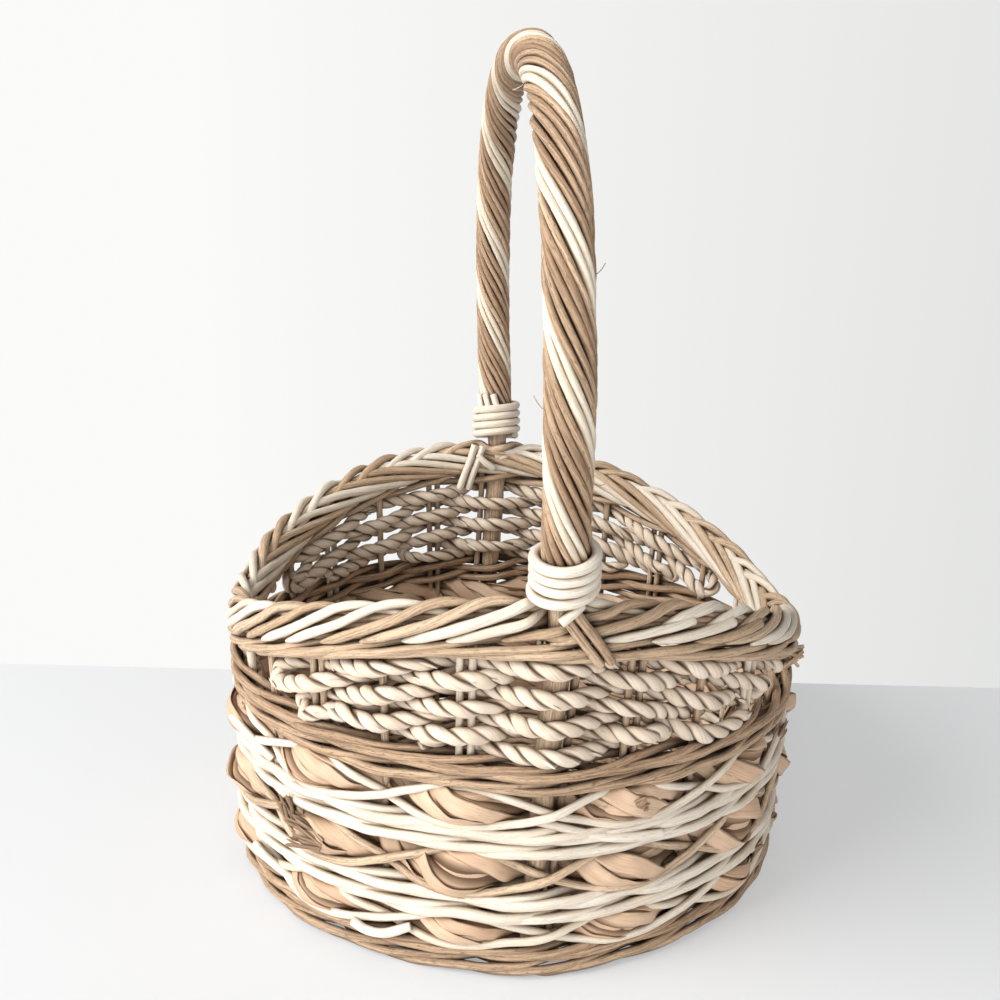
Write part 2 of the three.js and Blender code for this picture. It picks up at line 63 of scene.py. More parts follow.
# The bands lean: the left end of the basket stands a little higher.
BAND_TILT = 4.3 / 150
TILT_FULL_HEIGHT = 100

# Bands of the wall: bottom and height.
FOOT_BAND = (0.3, 17.8)
LOWER_LEAF = (18.6, 13.5)
LOWER_CREAM = (32.5, 17.3)
MIDDLE_LEAF = (50.2, 20.5)
UPPER_CREAM = (71.1, 17.3)
UPPER_LEAF = (88.8, 17.5)
DARK_BAND = (106.7, 17.3)
DARK_TOP = 124
RIM_WALING_HEIGHT = 10.5
BORDER_HEIGHT = 17

# Rods and ropes.
STAKE_DIAMETER = 4.2
SEAGRASS_DIAMETER = 7.7
SEAGRASS_PITCH = 22.5
FITCH_DIAMETER = 4.4
BORDER_ROD_DIAMETER = 5.2
STRAND_GAP = 0.1

# The bow where it stands in the wall: thinner below, and at a slight slant through one x and z.
BOW_FOOT_RADIUS = 5.2
BOW_RIM_RADIUS = 6.5
BOW_THIN_BELOW = 40
BOW_FULL_ABOVE = 150
BOW_SLANT = 0.047
BOW_SLANT_THROUGH = (-3, 65)
BOW_FOOT_X = -4.5

# Handle. The shoulder gives y and z of one control point of the arch, the crown reach y of the next.
HANDLE_DIAMETER = 23
HANDLE_TOP = 461
HANDLE_FOOT_SHIFT = 3
HANDLE_LEAN = 8.5
HANDLE_LEAN_POWER = 0.55
SHOULDER = (175, 350)
CROWN_REACH = 144

# Camera, in the photograph's square frame: place in millimetres, angles in radians.
CAMERA_PLACE = (-82.9, -598.9, 404)
CAMERA_YAW = 0.12
CAMERA_PITCH = 0.31
CAMERA_ROLL = 0.03
FOCAL_SHARE = 1.1

rng = random.Random(11)


# Shape of the wall

def unit(vectors):
    return vectors / np.linalg.norm(vectors, axis=-1, keepdims=True)


def wall_point(angle, z, out=0.0):
    """Points on the wall at plan angles and heights, moved outwards from the stakes."""
    angle, z, out = np.broadcast_arrays(angle, z, out)
    flare = RIM_FLARE * (np.maximum(z, 0) / RIM_MIDDLE_TOP) ** 2
    a, b = FOOT_HALF_LENGTH + flare, FOOT_HALF_WIDTH + flare
    normal = unit(np.stack([b * np.cos(angle), a * np.sin(angle)], -1))
    x = a * np.cos(angle) + normal[..., 0] * out
    y = b * np.sin(angle) + normal[..., 1] * out
    tilt = BAND_TILT * x * np.clip(z / TILT_FULL_HEIGHT, 0, 1)
    return np.stack([x, y, z - tilt], -1)


def wall_normals(points):
    """Outward level directions of the wall at given points."""
    n = np.zeros_like(points)
    n[:, 0] = points[:, 0] / FOOT_HALF_LENGTH**2
    n[:, 1] = points[:, 1] / FOOT_HALF_WIDTH**2
    return unit(n)


def stake_angle(k):
    return FRONT + k * STAKE_STEP


def wall_points(spots):
    """Points on the wall, from stake numbers, heights and stand-offs."""
    return [wall_point(stake_angle(k), z, out) for k, z, out in spots]


def rim_top(angle):
    rise = np.abs(np.sin(angle)) ** RIM_PROFILE_POWER
    return RIM_END_TOP + (RIM_MIDDLE_TOP - RIM_END_TOP) * rise


def rim_waling_bottom(angle):
    return rim_top(angle) - BORDER_HEIGHT - RIM_WALING_HEIGHT


def is_bow(k):
    return k % STAKES in (0, BACK_STAKE)


def bow_radius(z):
    share = np.clip((z - BOW_THIN_BELOW) / (BOW_FULL_ABOVE - BOW_THIN_BELOW), 0, 1)
    return BOW_FOOT_RADIUS + (BOW_RIM_RADIUS - BOW_FOOT_RADIUS) * share


def bow_x(z):
    x, height = BOW_SLANT_THROUGH
    return np.clip(x + BOW_SLANT * (z - height), BOW_FOOT_X, HANDLE_FOOT_SHIFT)


def pass_offset(k, depth, z=BOW_FULL_ABOVE):
    """How far a strand's centre line stands off the stakes where it bends round stake k."""
    radius = bow_radius(z) if is_bow(k) else STAKE_DIAMETER / 2
    return radius + STRAND_GAP + depth / 2


# Strands

def smooth_path(points, step, closed=False):
    """A smooth line through points, sampled about every step."""
    p = np.asarray(points, float)
    if closed:
        p = np.concatenate([p[-1:], p, p[:2]])
    else:
        p = np.concatenate([2 * p[:1] - p[1:2], p, 2 * p[-1:] - p[-2:-1]])
    runs = []
    for p0, p1, p2, p3 in zip(p, p[1:], p[2:], p[3:]):
        count = max(2, math.ceil(np.linalg.norm(p2 - p1) / step))
        t = (np.arange(count) / count)[:, None]
        runs.append(0.5 * (2 * p1 + (p2 - p0) * t + (2 * p0 - 5 * p1 + 4 * p2 - p3) * t**2
                           + (3 * p1 - p0 - 3 * p2 + p3) * t**3))
    if not closed:
        runs.append(p[-2:-1])
    return np.concatenate(runs)


def lengths_along(path):
    return np.concatenate([[0], np.cumsum(np.linalg.norm(np.diff(path, axis=0), axis=1))])


def waves(s, wavelength, closed_length=None):
    """A gentle random curve along s, between about -1 and 1."""
    total = np.zeros_like(s)
    for share, weight in ((1.0, 0.6), (0.53, 0.3), (0.29, 0.2)):
        length = wavelength * share
        if closed_length:
            length = closed_length / max(1, round(closed_length / length))
        total += weight * np.sin(FULL_TURN * (s / length + rng.random()))
    return total


def tangents_of(path, closed):
    if closed:
        return unit(np.roll(path, -1, axis=0) - np.roll(path, 1, axis=0))
    return unit(np.gradient(path, axis=0))


def carried_normals(path):
    """Directions square to an open path that turn as little as possible along it."""
    t = tangents_of(path, False)
    normals = [unit(np.cross(t[0], UP if abs(t[0][2]) < 0.9 else (1, 0, 0)))]
    for tangent in t[1:]:
        normals.append(unit(normals[-1] - tangent * np.dot(normals[-1], tangent)))
    return np.array(normals)


def section_axes(path, normals, closed):
    """Directions along a path, outwards as near to the normals as can be, and sideways."""
    t = tangents_of(path, closed)
    n = unit(normals - t * np.sum(normals * t, axis=1, keepdims=True))
    return t, n, np.cross(t, n)


def loop_length(path):
    """The length round a closed path, with the step from its last point to its first."""
    return lengths_along(path)[-1] + np.linalg.norm(path[0] - path[-1])


def with_ends(values, first, last):
    """An array with one more row before it and one after it."""
    return np.concatenate([[first], values, [last]])


def add_object(name, data):
    thing = bpy.data.objects.new(name, data)
    bpy.context.scene.collection.objects.link(thing)
    return thing


# How a strand varies along itself: strengths, and wavelengths in millimetres.
SWELL = 0.04
SWELL_LENGTHS = (28, 110)
WOBBLE_LENGTHS = (60, 45)
WOBBLE_OUTWARDS = 0.6
TONE_DRIFT = 0.12
TONE_LENGTH = 90
PLEAT_DRIFT = 1.3
PLEAT_LENGTH = 70

# Shares of a strand: the rounding of a cut end, the tip of a taper, and pleats across and through it.
END_ROUNDING = 0.16
TAPER_TIP = 0.16
PLEAT_CUTS = (0.12, 0.2)
# Strength of the painted shade in a pleat's valley, and softness of the edge of painted shade round a
# strand.
PLEAT_CREASE = 0.75
CREASE_SOFTNESS = 0.5

# How far from a rope's middle its plies run, as a share of its width or depth, and how they vary.
PLY_OFFSET = 0.25
PLY_SWELL = 0.12
# A ply gets painted shade on its side towards the rope's middle, below this share of its half depth.
PLY_CREASE = 0.34

# Strips on a ply: the share of its outer half that they cover, and how they stray and lean.
FOLD_SPREAD = 0.84
FOLD_STRAY = 0.2
FOLD_LEAN = 0.35
FOLD_LENGTHS = (55, 40)


class Strands:
    """The strands of one piece, gathered into one mesh."""

    def __init__(self):
        self.verts, self.grain, self.tone, self.painted_shade = [], [], [], []
        self.faces = []
        self.count = 0

    def rod(self, path, width, depth=None, normals=None, closed=False, sides=10, tone=None, size=1.0,
            taper=(0.0, 0.0), wobble=0.0, flat_end=0.82, crease_from=-1.0, pleats=0, lens=1.0):
        """Sweeps an oval section along a path, with its depth along the normals.

        The ends narrow over the lengths in taper, and are cut at flat_end of the width that is left.
        The side away from the normals gets painted shade, from crease_from of the half depth on.
        Pleats are grooves along the rod with painted shade in their valleys, and a lens above 1 sharpens its
        two edges.
        """
        depth = width if depth is None else depth
        normals = carried_normals(path) if normals is None else normals
        s = lengths_along(path)
        loop = loop_length(path) if closed else None
        t, n, b = section_axes(path, normals, closed)
        if wobble:
            sideways, outwards = (waves(s, length, loop)[:, None] for length in WOBBLE_LENGTHS)
            path = path + wobble * (sideways * b + WOBBLE_OUTWARDS * outwards * n)
        short, long = (SWELL * waves(s, length, loop) for length in SWELL_LENGTHS)
        scale = size * (1 + short + long)
        width, depth = width / 2 * scale, depth / 2 * scale
        if not closed:
            for reach, distance in zip(taper, (s, s[-1] - s)):
                if reach:
                    kept = TAPER_TIP + (1 - TAPER_TIP) * np.sqrt(np.clip(distance / reach, 0, 1))
                    width, depth = width * kept, depth * kept
            first, last = END_ROUNDING * width[[0, -1]]
            path = with_ends(path, path[0] - t[0] * first, path[-1] + t[-1] * last)
            s = with_ends(s, s[0] - first, s[-1] + last)
            n, b = (with_ends(v, v[0], v[-1]) for v in (n, b))
            width, depth = (with_ends(v, v[0] * flat_end, v[-1] * flat_end) for v in (width, depth))
        theta = np.broadcast_to(FULL_TURN * np.arange(sides) / sides, (len(path), sides))
        across = width[:, None] * np.cos(theta)
        through = depth[:, None] * (np.sign(np.sin(theta)) * np.abs(np.sin(theta)) ** lens)
        # Painted shade on the side of the strand away from its normals.
        painted_shade = np.clip((crease_from - np.sin(theta)) / CREASE_SOFTNESS, 0, 1)
        if pleats:
            drift = PLEAT_DRIFT * waves(s, PLEAT_LENGTH, loop) + rng.uniform(0, math.pi)
            valley = (1 - np.abs(np.sin(pleats / 2 * theta + drift[:, None]))) ** 3
            across, through = across * (1 - PLEAT_CUTS[0] * valley), through * (1 - PLEAT_CUTS[1] * valley)
            # Painted shade in the pleats' valleys.
            painted_shade = np.maximum(painted_shade, PLEAT_CREASE * valley**1.5)
        ring = path[:, None] + across[..., None] * b[:, None] + through[..., None] * n[:, None]
        shift = rng.uniform(0, 5000)
        grain = np.stack([np.broadcast_to((s + shift)[:, None], across.shape), across, through], -1)
        tone = rng.random() if tone is None else tone
        tones = np.clip(tone + TONE_DRIFT * waves(s, TONE_LENGTH, loop), 0, 1)
        self.verts.append(ring.reshape(-1, 3))
        self.grain.append(grain.reshape(-1, 3))
        self.painted_shade.append(painted_shade.reshape(-1))
        self.tone.append(np.repeat(tones, sides))
        self.add_faces(len(path), sides, closed)

    def add_faces(self, rings, sides, closed):
        """Four-sided faces between the rings, and a cap on either end of an open strand."""
        i = np.arange(rings if closed else rings - 1)[:, None] * sides
        j = np.arange(sides)
        next_i, next_j = (i + sides) % (rings * sides), (j + 1) % sides
        quads = np.stack([i + j, i + next_j, next_i + next_j, next_i + j], -1)
        self.faces += (self.count + quads.reshape(-1, 4)).tolist()
        if not closed:
            last = self.count + (rings - 1) * sides
            self.faces += [(self.count + j[::-1]).tolist(), (last + j).tolist()]
        self.count += rings * sides

    def rope(self, path, width, depth, pitch, plies, normals, size, closed=False, phase=None,
             wander=0.05, sides=14, strips=None):
        """Twists two plies round a path. Their own width and depth are shares of the rope's."""
        s = lengths_along(path)
        loop = loop_length(path) if closed else None
        if closed:
            pitch = loop / round(loop / pitch)
        _, n, b = section_axes(path, normals, closed)
        start = rng.random() if phase is None else phase
        drift = wander * waves(s, 3 * pitch, loop)
        for ply in range(2):
            turn = -FULL_TURN * (s / pitch + drift + start + ply / 2)
            cos, sin = np.cos(turn)[:, None], np.sin(turn)[:, None]
            line = path + (PLY_OFFSET * size)[:, None] * (width * cos * b + depth * sin * n)
            spoke = cos * b + sin * n
            ply_width = plies[0] * np.hypot(width * sin, depth * cos)[:, 0]
            ply_depth = plies[1] * np.hypot(width * cos, depth * sin)[:, 0]
            uneven = size * (1 + PLY_SWELL * waves(s, 1.3 * pitch, loop))
            self.rod(line, ply_width, ply_depth, normals=spoke, closed=closed, sides=sides, size=uneven,
                     crease_from=PLY_CREASE)
            if strips:
                self.fold_strips(line, spoke, ply_width * uneven, ply_depth * uneven, closed, *strips)

    def fold_strips(self, line, spoke, width, depth, closed, count, strip_width, thickness):
        """Lays flat strips with sharp edges side by side along the outside of a ply."""
        s = lengths_along(line)
        loop = s[-1] if closed else None
        t, n, b = section_axes(line, spoke, closed)
        for i in range(count):
            turn = math.pi * (0.5 + FOLD_SPREAD * ((i + 0.5) / count - 0.5))
            turn = turn + FOLD_STRAY * waves(s, FOLD_LENGTHS[0], loop)
            cos, sin = np.cos(turn)[:, None], np.sin(turn)[:, None]
            place = line + cos * b * width[:, None] / 2 + sin * n * depth[:, None] / 2
            lean = FOLD_LEAN * waves(s, FOLD_LENGTHS[1], loop)[:, None]
            normals = cos * b / width[:, None] + sin * n / depth[:, None]
            normals = normals + lean * np.cross(t, normals)
            self.rod(place, strip_width * rng.uniform(0.85, 1.15), thickness, normals=normals,
                     closed=closed, sides=8, lens=1.3)

    def make(self, name, material):
        """Makes the mesh, as a piece on the root body."""
        mesh = bpy.data.meshes.new(name)
        verts = np.concatenate(self.verts) * MM
        mesh.from_pydata(verts.tolist(), [], self.faces)
        mesh.polygons.foreach_set("use_smooth", [True] * len(mesh.polygons))
        # The last attribute marks where the material paints shade.
        attributes = (("grain", "FLOAT_VECTOR", "vector", self.grain), ("tone", "FLOAT", "value", self.tone),
                      ("painted_shade", "FLOAT", "value", self.painted_shade))
        for attribute, kind, field, values in attributes:
            data = mesh.attributes.new(attribute, kind, "POINT").data
            data.foreach_set(field, np.concatenate(values).astype(np.float32).ravel())
        mesh.materials.append(material)
        mesh.update()
        piece = add_object(name, mesh)
        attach(piece, "root")
        return piece

    def dress(self, node, material):
        """Makes the piece that stands in for a node of the frame."""
        piece = self.make("dressed_" + node, material)
        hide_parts(node)


# Materials

# Which inputs and output of a mix node hold colours.
MIX_FACTOR, MIX_A, MIX_B = 0, 6, 7
MIX_RESULT = 2


class Nodes:
    """Short ways to add and join the nodes of a material or of the world."""

    def __init__(self, owner, shader="Principled BSDF"):
        self.owner = owner
        owner.use_nodes = True
        self.tree = owner.node_tree
        self.shader = self.tree.nodes[shader]

    def feed(self, node, sockets):
        """Gives a node's inputs numbers, colours or the outputs of other nodes."""
        for key, value in sockets.items():
            socket = node.inputs[key]
            if isinstance(value, bpy.types.NodeSocket):
                self.tree.links.new(value, socket)
            elif socket.type == "RGBA":
                socket.default_value = (*value, 1)
            else:
                socket.default_value = value

    def add(self, kind, sockets=None, **values):
        node = self.tree.nodes.new("ShaderNode" + kind)
        for key, value in values.items():
            setattr(node, key, value)
        self.feed(node, sockets or {})
        return node

    def attribute(self, name, output):
        return self.add("Attribute", attribute_name=name).outputs[output]

    def noise(self, vector, scale, detail, roughness=0.55):
        place = self.add("Mapping", {"Vector": vector, "Scale": scale}).outputs["Vector"]
        sockets = {"Vector": place, "Scale": 1.0, "Detail": detail, "Roughness": roughness}
        return self.add("TexNoise", sockets).outputs["Fac"]

    def ramp(self, value, *stops):
        """Greys at given places along the value, and even slopes between them."""
        node = self.add("ValToRGB", {"Fac": value})
        elements = node.color_ramp.elements
        for i, (place, grey) in enumerate(stops):
            element = elements[i] if i < 2 else elements.new(place)
            element.position = place
            element.color = (grey, grey, grey, 1)
        return node.outputs["Color"]

    def spread(self, value, low, high, top=1.0):
        """Black below low, a grey of level top above high."""
        return self.ramp(value, (low, 0), (high, top))

    def mix(self, factor, a, b):
        sockets = {MIX_FACTOR: factor, MIX_A: a, MIX_B: b}
        return self.add("Mix", sockets, data_type="RGBA").outputs[MIX_RESULT]

    def math(self, operation, a, b):
        """The outcome of an operation on two numbers, kept between 0 and 1."""
        return self.add("Math", {0: a, 1: b}, operation=operation, use_clamp=True).outputs[0]

    def seen_rays(self):
        """One where a ray comes from the camera or through a shiny or clear surface."""
        rays = self.add("LightPath").outputs
        seen = rays["Is Camera Ray"]
        for kind in ("Is Glossy Ray", "Is Transmission Ray"):
            seen = self.math("MAXIMUM", seen, rays[kind])
        return seen

    def show_mix(self, factor, first, second):
        """Ends the tree in a mix of two shader nodes."""
        sockets = {0: factor, 1: first.outputs[0], 2: second.outputs[0]}
        output = next(node for node in self.tree.nodes if node.name.endswith("Output"))
        self.feed(output, {"Surface": self.add("MixShader", sockets).outputs[0]})


# How far the painted shade between strands reaches, in millimetres.
GAP_SHADE_REACH = 11
BUMP_DISTANCE = 0.4
SPECULAR = 0.3


def new_strand_material(name, light, dark):
    """Nodes that go from light to dark by the tone of a strand, and its grain to vary them by."""
    m = Nodes(bpy.data.materials.new(name))
    colour = m.mix(m.spread(m.attribute("tone", "Fac"), 0.0, 1.0), light, dark)
    return m, colour, m.attribute("grain", "Vector")


def finish_material(m, colour, shade_and_line_colour, crease_shade_share, roughness, relief, bump):
    """Joins all to the shader, with painted shade in a strand's grooves and on its inner side, and painted
    shade in the gaps between strands.
    """
    # Painted shade on the inner side of each strand and in the grooves of its pleats.
    painted_crease_shade = m.spread(m.attribute("painted_shade", "Fac"), 0.3, 1.0, crease_shade_share)
    # Painted shade in the gaps between strands, where ambient occlusion finds them closed in.
    openness = m.add("AmbientOcclusion", {"Distance": GAP_SHADE_REACH * MM}, samples=5)
    painted_gap_shade = m.ramp(openness.outputs["AO"], (0.12, 0.92), (0.7, 0))
    bumps = {"Height": relief, "Strength": bump, "Distance": BUMP_DISTANCE * MM}
    m.feed(m.shader, {
        "Base Color": m.mix(painted_gap_shade, m.mix(painted_crease_shade, colour, shade_and_line_colour), shade_and_line_colour),
        "Roughness": roughness,
        "Specular IOR Level": SPECULAR,
        "Normal": m.add("Bump", bumps).outputs["Normal"],
    })
    return m.owner


def rod_material(name, light, dark, fleck, shade_and_line_colour, flecked, roughness):
    """Willow or cane: lengthwise grain, flecks, and rods that differ in tone."""
    m, colour, grain = new_strand_material(name, light, dark)
    streaks = m.noise(grain, (0.03, 1.0, 1.0), detail=4.0)
    patches = m.noise(grain, (0.02, 0.12, 0.12), detail=2.0)
    flecks = m.noise(grain, (0.22, 1.6, 1.6), detail=4.0, roughness=0.75)
    colour = m.mix(m.spread(patches, 0.42, 0.74, 0.7), colour, dark)
    colour = m.mix(m.spread(streaks, 0.44, 0.62, flecked), colour, fleck)
    colour = m.mix(m.spread(flecks, 0.54, 0.63, min(1.0, flecked * 1.4)), colour, fleck)
    return finish_material(m, colour, shade_and_line_colour, 0.85, roughness, relief=streaks, bump=0.9)


def leaf_material(name, light, dark, shade_and_line_colour, roughness):
    """Dry leaf: fine fibres along the strand, thin long folds, and painted shade in the creases between
    plies.
    """
    m, colour, grain = new_strand_material(name, light, dark)
    fibres = m.noise(grain, (0.04, 1.4, 1.4), detail=4.0)
    folds = m.noise(grain, (0.02, 0.55, 0.55), detail=2.0, roughness=0.4)
    patches = m.noise(grain, (0.05, 0.12, 0.12), detail=2.0)
    colour = m.mix(m.spread(patches, 0.4, 0.75, 0.8), colour, dark)
    colour = m.mix(m.spread(fibres, 0.48, 0.76, 0.26), colour, shade_and_line_colour)
    colour = m.mix(m.ramp(folds, (0.488, 0), (0.5, 0.3), (0.512, 0)), colour, shade_and_line_colour)
    relief = m.mix(0.5, m.spread(folds, 0.46, 0.54), fibres)
    return finish_material(m, colour, shade_and_line_colour, 0.95, roughness, relief, bump=0.45)


# Each material's last colour is its painted shade; in the leaf materials it also draws the fibres and fold
# lines.
CREAM = rod_material("cream_willow", light=(0.95, 0.88, 0.775), dark=(0.85, 0.745, 0.6),
                     fleck=(0.5, 0.37, 0.24), shade_and_line_colour=(0.36, 0.25, 0.155), flecked=0.28, roughness=0.5)
TAN = rod_material("tan_willow", light=(0.83, 0.64, 0.455), dark=(0.58, 0.41, 0.265),
                   fleck=(0.22, 0.135, 0.075), shade_and_line_colour=(0.05, 0.028, 0.016), flecked=0.5, roughness=0.55)
BROWN = rod_material("brown_willow", light=(0.7, 0.502, 0.337), dark=(0.44, 0.285, 0.176),
                     fleck=(0.16, 0.095, 0.05), shade_and_line_colour=(0.03, 0.016, 0.01), flecked=0.6, roughness=0.58)
LEAF = leaf_material("twisted_leaf", light=(0.84, 0.62, 0.435), dark=(0.68, 0.45, 0.3),
                     shade_and_line_colour=(0.15, 0.085, 0.045), roughness=0.6)
SEAGRASS = leaf_material("seagrass_rope", light=(0.95, 0.85, 0.72), dark=(0.84, 0.69, 0.54),
                         shade_and_line_colour=(0.13, 0.075, 0.04), roughness=0.62)
CUT_LEAF = leaf_material("cut_leaf", light=(0.5, 0.34, 0.22), dark=(0.3, 0.19, 0.12),
                         shade_and_line_colour=(0.08, 0.045, 0.025), roughness=0.7)


# Walings

WALING_RODS = 4

# Shares of a rod's diameter: how far it keeps from the edges of its row, how much further out it lies
# over its neighbours, and its stand-off between stakes.
WALING_EDGE = 0.42
WALING_OVER = 0.75
WALING_BETWEEN = (1.3, 1.6)

# How much steeper a rod passes through the wall, and unevenness and room by the bow in millimetres.
WALING_STEEP = 1.1
UNEVEN_AT_STAKE = 0.45
UNEVEN_BETWEEN = 0.4
BESIDE_BOW = 2.6


def waling_path(bottom, height, rod, diameter):
    """One rod of a row: outside three stakes, where it rises to the right, and inside the fourth."""
    spots = []
    middle = height / 2
    lift = height / 2 - diameter * WALING_EDGE
    first = BACK_STAKE - 4 + 2 * (rod % WALING_RODS)
    for k in range(first, first + STAKES):
        place = (k - rod) % WALING_RODS
        inside = place == 0
        base = bottom(stake_angle(k)) + middle
        out = pass_offset(k, diameter, base) * (-1 if inside else 1)
        if place == 2:
            out += diameter * WALING_OVER
        z = base + (0 if inside else lift * (place - 2)) + rng.gauss(0, UNEVEN_AT_STAKE)
        spots.append((k, z, out))
        if inside or place == WALING_RODS - 1:
            mid_z, mid_out = lift * (-WALING_STEEP if inside else WALING_STEEP), 0.0
        else:
            mid_z, mid_out = lift * (place - 1.5), diameter * rng.uniform(*WALING_BETWEEN)
            if is_bow(k) or is_bow(k + 1):
                mid_out += BESIDE_BOW
        mid_z += bottom(stake_angle(k + 0.5)) + middle
        spots.append((k + 0.5, mid_z + rng.gauss(0, UNEVEN_BETWEEN), mid_out))
    return smooth_path(wall_points(spots), 3.0, closed=True)


def build_waling(node, band, rows, material, tones, diameter, shift=0):
    bottom, height = band
    bottom_at = bottom if callable(bottom) else lambda angle: bottom
    row_height = height / rows
    strands = Strands()
    for row in range(rows):
        for rod in range(WALING_RODS):
            thickness = diameter * rng.uniform(0.9, 1.1)
            path = waling_path(lambda angle: bottom_at(angle) + row * row_height, row_height,
                               rod + 2 * row + shift, thickness)
            strands.rod(path, thickness, thickness * 0.92, wall_normals(path), closed=True,
                        wobble=0.35, tone=rng.uniform(*tones))
    strands.dress(node, material)


# Rod ends that stick out together at the right end of the rim: stake number, height and stand-off.
RAGGED_END = (5.1, 127, 11)
RAGGED_RODS = 9


def build_ragged_end():
    strands = Strands()
    k, z, out = RAGGED_END
    for _ in range(RAGGED_RODS):
        start, end = wall_points((
            (k + rng.uniform(-0.25, 0.1), z + rng.uniform(-6, 5), out - 6),
            (k + rng.uniform(0.0, 0.3), z + rng.uniform(-6, 7), out + rng.uniform(2, 5)),
        ))
        path = smooth_path([start, (start + end) / 2, end], 2.0)
        strands.rod(path, rng.uniform(1.6, 2.8), flat_end=0.9)
    strands.make("ragged_rim_ends", TAN)


build_waling("foot_waling", FOOT_BAND, 2, BROWN, tones=(0.0, 0.8), diameter=4.6, shift=1)
build_waling("lower_cream_waling", LOWER_CREAM, 2, CREAM, tones=(0.0, 0.7), diameter=5.4)
build_waling("upper_cream_waling", UPPER_CREAM, 2, CREAM, tones=(0.0, 0.7), diameter=5.4, shift=2)
build_waling("dark_waling", DARK_BAND, 2, BROWN, tones=(0.0, 0.7), diameter=4.9, shift=1)
build_waling("rim_waling", (rim_waling_bottom, RIM_WALING_HEIGHT), 1, TAN, tones=(0.3, 1.0), diameter=4.6)
build_ragged_end()


# Leaf ropes, their cut ends, and the thin rods that cross over them

# Width and strips are shares of the band's height, the core also of the depth.
LEAF_DEPTH = 12.6
LEAF_PITCH = 112
LEAF_CORE = (0.94, 0.8)
LEAF_WIDTH = 1.04
LEAF_PLIES = (0.86, 0.64)
LEAF_PASS = 0.8
LEAF_STRIPS = 2
LEAF_STRIP_WIDTH = 0.58
LEAF_STRIP_THICKNESS = 1.5

# Cut ends of each leaf rope: stake number, height, stand-off, heading, length and reach.
CUT_ENDS = {
    "lower_leaf_rope": ((-1.3, 26, 8.5, 0.2, 8, 6), (3.6, 27, 8, 0.4, 8, 5)),
    "middle_leaf_rope": ((-3.3, 65, 12.5, 2, 13, 10), (-2.75, 60.5, 13, 2.85, 22, 8)),
    "upper_leaf_rope": ((0.98, 99, 13, 0.5, 8, 6), (4, 97, 8, 0.6, 10, 8)),
}
STRIPS_IN_END = 22


def frayed_end(strands, k, z, out, heading, length, reach):
    """A cut rope end: thin strips that fan out from one root."""
    root = wall_point(stake_angle(k), z, out)
    normal = wall_normals(root[None])[0]
    along = np.cross(UP, normal)
    forward = math.cos(heading) * along + math.sin(heading) * UP
    side = np.cross(normal, forward)
    for _ in range(STRIPS_IN_END):
        spot = root + side * rng.uniform(-0.5, 0.5) * reach + normal * rng.uniform(-0.3, 0.3) * reach
        tip = spot + forward * length * rng.uniform(0.7, 1.1)
        tip += (side * rng.uniform(-0.25, 0.25) + normal * rng.uniform(-0.2, 0.35)) * length
        bend = (spot + tip) / 2 + side * rng.uniform(-0.8, 0.8) + normal * rng.uniform(-0.6, 0.6)
        path = smooth_path([spot, bend, tip], 1.2)
        strands.rod(path, rng.uniform(1.6, 2.8), 0.7, sides=6, taper=(0, 3.0), pleats=2)


def build_leaf_rope(node, band, phase):
    """A flat rope in front of odd stakes and behind even ones: two folded plies on a pleated core."""
    bottom, height = band
    middle = bottom + height / 2
    spots = []
    for k in range(STAKES):
        side = LEAF_PASS if k % 2 == 1 else -LEAF_PASS
        spots.append((k, middle, side * pass_offset(k, LEAF_DEPTH, middle)))
    path = smooth_path(wall_points(spots), 1.8, closed=True)
    normals = wall_normals(path)
    s = lengths_along(path)
    size = 1.0 + 0.06 * waves(s, 150, s[-1])
    strands = Strands()
    strands.rod(path, LEAF_CORE[0] * height, LEAF_CORE[1] * LEAF_DEPTH, normals, closed=True, sides=20,
                pleats=3, tone=0.35)
    strands.rope(path, LEAF_WIDTH * height, LEAF_DEPTH, LEAF_PITCH, LEAF_PLIES, normals, size,
                 closed=True, phase=phase, sides=16,
                 strips=(LEAF_STRIPS, LEAF_STRIP_WIDTH * height, LEAF_STRIP_THICKNESS))
    strands.dress(node, LEAF)
    ends = Strands()
    for end in CUT_ENDS[node]:
        frayed_end(ends, *end)
    ends.make("cut_ends_of_" + node, CUT_LEAF)


# A thin rod from one lobe over an even stake to the next: shift in stakes, share of the band's height,
# height above that, and stand-off. The middle one is counted from the stand-off of the stake.
RISING = ((-0.82, 0, -0.6, 9.4), (-0.45, 0.1, 0, 8.8), (0.02, 0.44, 0, 3.6), (0.45, 0.84, 0, 8),
          (0.8, 1, 0.4, 5))
FALLING = ((-0.8, 1, 0.4, 5), (-0.4, 0.8, 0, 7.2), (0.05, 0.4, 0, 0), (0.45, 0.1, 0, 7.4),
           (0.82, 0, -0.6, 9.4))

# Loose rod ends beside the lobes: stake number, height and stand-off of their points.
LOOSE_ENDS = {
    "lower_fitching_rod": (((-4.33, 28.5, 11.5), (-4, 28, 11.5), (-3.6, 25, 9), (-3.3, 20, 5)),
                           ((-2.35, 20, 12), (-2.15, 18, 12.5), (-1.9, 19, 12), (-1.6, 24, 9))),
    "upper_fitching_rod": (((-4.86, 96, 13.5), (-4.6, 95, 12), (-4.2, 92, 9.5), (-3.9, 87, 6)),
                           ((-0.1, 92, 8), (0.5, 84.5, 10.5), (0.95, 81.5, 12.3), (1.4, 80, 12.6))),
}


